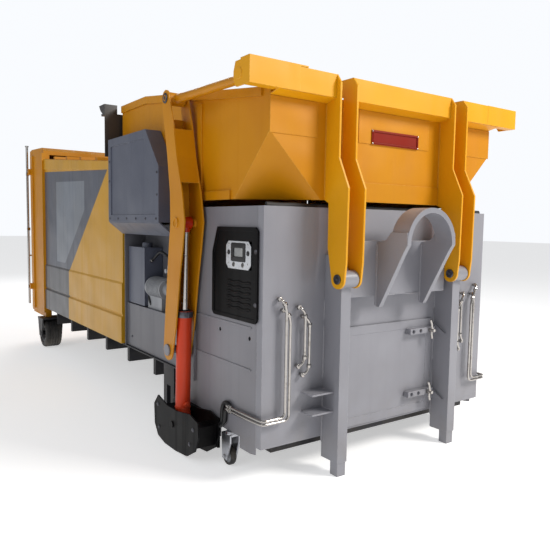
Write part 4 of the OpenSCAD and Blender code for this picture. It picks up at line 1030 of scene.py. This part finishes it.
# %% [markdown]
# ## Pin heads and grease nipples
# Every pivot ends in a round steel head with a groove and a grease nipple. One turned
# profile does for all, scaled to each pin.

# %% Pin heads
def pin_head(centre, out, radius, thick):
    """A chamfered head with a ring groove and a small nipple in the middle."""
    t = thick
    profile = [[0, 0], [0, radius], [t * 0.7, radius], [t, radius * 0.9], [t, radius * 0.62],
               [t * 0.6, radius * 0.58], [t * 0.6, radius * 0.42], [t, radius * 0.38],
               [t, 0.006], [t + 0.0022, 0.0045], [t + 0.0030, 0.002], [t + 0.0030, 0]]
    return turned(profile, centre, out, 48)


for side, sign in (("left", -1), ("right", 1)):
    out = (sign, 0, 0)
    add_piece(f"link_pin_heads_{side}",
              pin_head(place_on(sign, 1.2600, *beam_eye), out, 0.034, 0.010),
              pin_steel, "hopper")
    add_piece(f"arm_pin_heads_{side}",
              pin_head(place_on(sign, 1.2600, *arm_head), out, 0.036, 0.009),
              pin_steel, f"arm_{side}")
hinge_heads = []
for sign in (-1, 1):
    for x, out in ((0.548 + 0.0775, sign), (0.548 - 0.0775, -sign)):
        hinge_heads.append(pin_head(place_on(sign, x, -0.165, 1.300), (out, 0, 0), 0.032, 0.010))
add_piece("hinge_pin_heads", join(*hinge_heads), pin_steel, "frame")
print("pin heads made")

# %% [markdown]
# ## Lift cylinders
# The red barrel ends in a dark gland nut with spanner notches, where the chromed rod comes
# out through a wiper ring, and a port block near its foot takes the hose. The notches are a
# ripple in the turned radius.

# %% Gland nuts, wipers and ports
foot, eye_top = np.array([0.875, 0.182]), np.array([0.830, 1.640])
line = (eye_top - foot) / np.linalg.norm(eye_top - foot)
for side, sign in (("left", -1), ("right", 1)):
    start = place_on(sign, lane_x, *foot)
    along = np.array([0, line[0], line[1]])
    gland = turned([(0.785, 0.0592), (0.785, 0.0610), (0.790, 0.0625), (0.822, 0.0625),
                    (0.829, 0.0600), (0.8325, 0.0500), (0.8325, 0.0278), (0.785, 0.0278)],
                   start, along, 96, lambda a: 1 - 0.03 * (np.cos(a * 8) > 0.9))
    wiper = turned([(0.8320, 0.0275), (0.8320, 0.0420), (0.8365, 0.0400), (0.8395, 0.0320),
                    (0.8400, 0.0275)], start, along, 48)
    welds = [carried(np.stack([start + along * d + (np.cos(a) * np.array([1.0, 0, 0])
                               + np.sin(a) * np.cross(along, (1.0, 0, 0))) * 0.0545
                               for a in np.linspace(0, 2 * math.pi, 61)[:-1]]),
                     circle(0.004, 8), along, closed=True) for d in (0.078, 0.120)]
    port = turned([(0, 0), (0, 0.021), (0.020, 0.021), (0.024, 0.017), (0.024, 0)],
                  start + along * 0.150 - np.array([0, 0.050, 0]), (0, -1, 0), 6)
    add_piece(f"gland_nut_{side}", gland, pin_steel, f"barrel_{side}")
    add_piece(f"rod_wiper_{side}", wiper, rubber, f"barrel_{side}")
    add_piece(f"barrel_fittings_{side}", join(*welds, port), red_paint, f"barrel_{side}")
print("cylinder line", line.round(4))

# %% [markdown]
# ## Weld beads
# Plates are joined by fillet welds with a rippled surface. A bead is a small round section
# carried along the joint and half sunk in it, with its radius swelling every few
# millimetres, and tapering at the ends.

# %% Welds on the head
head_beads = []
for sign in (-1, 1):
    for x in (0.548 - 0.0415, 0.548 + 0.0415):
        for low, high in ((0.19, 0.56), (0.62, 0.98), (1.02, 1.15)):
            head_beads.append(weld(place_on(sign, x, -0.0005, low),
                                   place_on(sign, x, -0.0005, high), (1, 0, 0), 0.006))
    for x in (0.2365, 0.2015):
        head_beads.append(weld(place_on(sign, x, -0.1165, 1.10), place_on(sign, x, -0.1165, 1.52),
                               (1, 0, 0), 0.007))
    head_beads.append(weld(place_on(sign, 0.05, -0.1165, 1.1705),
                           place_on(sign, 0.19, -0.1165, 1.1705), (0, 0, 1), 0.004))
    for z in (0.425, 0.553):
        head_beads.append(weld(place_on(sign, 0.61, -0.001, z), place_on(sign, 0.76, -0.001, z),
                               (0, 0, 1), 0.004))
add_piece("head_welds", join(*head_beads), grey_paint, "frame")
print("head beads", len(head_beads))

# %% Welds on the hopper
hopper_beads = []
hopper_face = -0.020
for sign in (-1, 1):
    for x in (0.548 - 0.0775, 0.548 - 0.0625, 0.548 + 0.0625, 0.548 + 0.0775):
        hopper_beads.append(weld(place_on(sign, x, hopper_face - 0.0005, 1.82),
                                 place_on(sign, x, hopper_face - 0.0005, 2.41), (1, 0, 0), 0.005))
    hopper_beads.append(weld(place_on(sign, 0.70, -0.110, 2.4305),
                             place_on(sign, 1.05, -0.110, 2.4305), (0, 0, 1), 0.004))
add_piece("hopper_welds", join(*hopper_beads), yellow_paint, "hopper")
for side, sign in (("left", -1), ("right", 1)):
    beads = [weld(place_on(sign, x, 0.9230, 1.66), place_on(sign, x, 0.9200, 1.85), (1, 0, 0),
                  0.004) for x in (1.1145, 1.2495)]
    add_piece(f"arm_welds_{side}", join(*beads), yellow_paint, f"arm_{side}")
print("beads on the hopper", len(hopper_beads))

# %% [markdown]
# ## Inspection door
# A rubber lip shows round the door on the front, and flanged bolts hold its two square bars.
# The lip is a small round section carried round a rectangle with rounded corners.

# %% Door lip and bolts
door_low, door_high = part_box("inspection_door")


def rounded_rectangle(x0, x1, z0, z1, radius, y):
    """Points round a rectangle in the x-z plane whose corners are quarter circles."""
    quarter = np.linspace(0, math.pi / 2, 9)
    corners = [(x1 - radius, z1 - radius, 0), (x0 + radius, z1 - radius, 1),
               (x0 + radius, z0 + radius, 2), (x1 - radius, z0 + radius, 3)]
    parts = [np.stack([cx + radius * np.cos(quarter + k * math.pi / 2), np.full(9, y),
                       cz + radius * np.sin(quarter + k * math.pi / 2)], axis=1)
             for cx, cz, k in corners]
    return np.concatenate(parts)


lip_path = rounded_rectangle(-0.460, 0.460, 0.256, 0.946, 0.02, from_front(-0.0020))
add_piece("inspection_lip", carried(lip_path, circle(0.0036, 8), (0, 1, 0), closed=True),
          rubber, "frame")
bar_bolts = [hex_bolt((x, from_front(-0.0582), z), (0, -1, 0), 0.010, 0.008)
             for z in (0.401, 0.871) for x in (0.225, 0.300)]
add_piece("inspection_bolts", join(*bar_bolts), pin_steel, "hatch")
print("door", [round(v, 3) for v in (*door_low, *door_high)])

# %% [markdown]
# ## Name plate
# The red plate on the hopper stays blank. A thin raised frame and four rivets give it the
# look of a pressed sign. The frame is a half-round section on a rounded rectangle.

# %% Plate frame and rivets
plate_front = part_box("name_plate")[0].y
frame_path = rounded_rectangle(-0.219, 0.219, 2.2000, 2.2760, 0.012, plate_front - 0.0005)
rivet = [[-0.001, 0], [-0.001, 0.0065], [0.0012, 0.006], [0.0028, 0.004], [0.0034, 0]]
rivets = [turned(rivet, (x, plate_front, z), (0, -1, 0), 20)
          for x in (-0.2235, 0.2235) for z in (2.1965, 2.2795)]
add_piece("plate_frame", carried(frame_path, circle(0.0030, 10), (0, 1, 0), closed=True),
          plate_red, "hopper")
add_piece("plate_rivets", join(*rivets), bright_steel, "hopper")

# %% [markdown]
# ## Bolts on the guards, the cylinder feet and the rear door
# Rows of hexagon bolts fasten what can be taken off for service. Each row is the same bolt
# set at even steps, and joined into one piece with its neighbours on the same body.

# %% Bolt rows
frame_bolts, door_bolts = [], []
for sign in (-1, 1):
    out = (sign, 0, 0)
    guard_face = 1.080 + 0.132
    for y in np.linspace(1.275, 2.275, 6):
        frame_bolts.append(hex_bolt(place_on(sign, guard_face, y, 1.668), out, 0.008, 0.006))
    for z in (1.85, 2.02):
        frame_bolts.append(hex_bolt(place_on(sign, guard_face, 1.258, z), out, 0.008, 0.006))
        frame_bolts.append(hex_bolt(place_on(sign, guard_face, 2.279, z + 0.15), out, 0.008,
                                    0.006))
    for y, z in ((0.55, 0.235), (0.60, 0.12), (1.10, 0.10), (1.12, 0.27)):
        frame_bolts.append(hex_bolt(place_on(sign, 1.2660, y, z), out, 0.011, 0.0065))
    for y in (1.30, 2.15):
        frame_bolts.append(hex_bolt(place_on(sign, 1.0560, y, 0.60), out, 0.009, 0.007))
for z in (0.845, 1.645, 2.345):
    for y in (5.650, 5.682):
        door_bolts.append(hex_bolt(place_on(1, 1.1040, y, z), (1, 0, 0), 0.007, 0.005))
for x in np.linspace(-1.02, 1.02, 9):
    if abs(x) > 0.06:
        door_bolts.append(hex_bolt((x, from_front(5.722), 1.39), (0, 1, 0), 0.010, 0.008))
add_piece("frame_bolts", join(*frame_bolts), pin_steel, "frame")
add_piece("tailgate_bolts", join(*door_bolts), pin_steel, "tailgate")
print("bolts", len(frame_bolts) + len(door_bolts))

# %% [markdown]
# ## Machinery in the side bay
# Behind the left lift arm the motor drives the pump on the oil tank. Black hoses with bright
# ferrules loop between them. A hose is a round section on a bend, whose ends stand straight
# out of what they join.

# %% Hoses in the side bay
bay_hoses, bay_ferrules = [], []
routes = [
    [(-0.985, 1.545, 1.130), (-1.020, 1.490, 1.160), (-1.030, 1.430, 1.120),
     (-1.010, 1.400, 1.020), (-0.985, 1.420, 0.930), (-0.985, 1.470, 0.906)],
    [(-0.955, 1.545, 1.140), (-0.950, 1.480, 1.230), (-0.965, 1.560, 1.350),
     (-0.980, 1.700, 1.400), (-0.985, 1.820, 1.330), (-0.985, 1.884, 1.300)],
    [(-1.000, 1.880, 1.000), (-1.030, 1.830, 1.000), (-1.036, 1.800, 0.960),
     (-1.020, 1.790, 0.925), (-0.990, 1.790, 0.905)]]
for points in routes:
    corners = np.array([(x, from_front(y), z) for x, y, z in points])
    path = rounded_path(corners, 0.06, 9)
    bay_hoses.append(carried(path, circle(0.012, 16), (0.9, 0.1, 0.35)))
    for end, step in ((0, path[1] - path[0]), (-1, path[-2] - path[-1])):
        step = step / np.linalg.norm(step)
        bay_ferrules.append(turned([(0, 0), (0, 0.0142), (0.008, 0.0150), (0.024, 0.0138),
                                    (0.026, 0.0120), (0.026, 0)], path[end], step, 24))
add_piece("bay_hoses", join(*bay_hoses), hose_rubber, "frame")
add_piece("bay_ferrules", join(*bay_ferrules), bright_steel, "frame")
print("bay hoses", len(bay_hoses))

# %% [markdown]
# ## Rubber seal of the charging opening
# Between the hopper and the head a black lip keeps waste from falling out. It lies on the
# rim of the head, and its section leans towards the hopper: a rounded strip whose height
# waves slightly, as rubber does between its screws.

# %% Rim seal
t = np.linspace(0, 1, 160)
seal_x = -1.045 + 2.09 * t
seal_y = np.full_like(t, from_front(0.030))
seal_z = 1.7545 + 0.0015 * np.cos(t * 60)
strip = np.array([[-0.012, -0.001], [-0.012, 0.010], [-0.006, 0.020], [0.000, 0.023],
                  [0.006, 0.020], [0.012, 0.010], [0.012, -0.001]])
seal_points = np.stack([
    np.repeat(seal_x[:, None], len(strip), axis=1),
    seal_y[:, None] + strip[None, :, 0],
    seal_z[:, None] + strip[None, :, 1]], axis=-1)
add_piece("rim_seal", surface(seal_points, wrap_cols=True, caps=True), rubber, "frame")
print("pieces", piece_count)
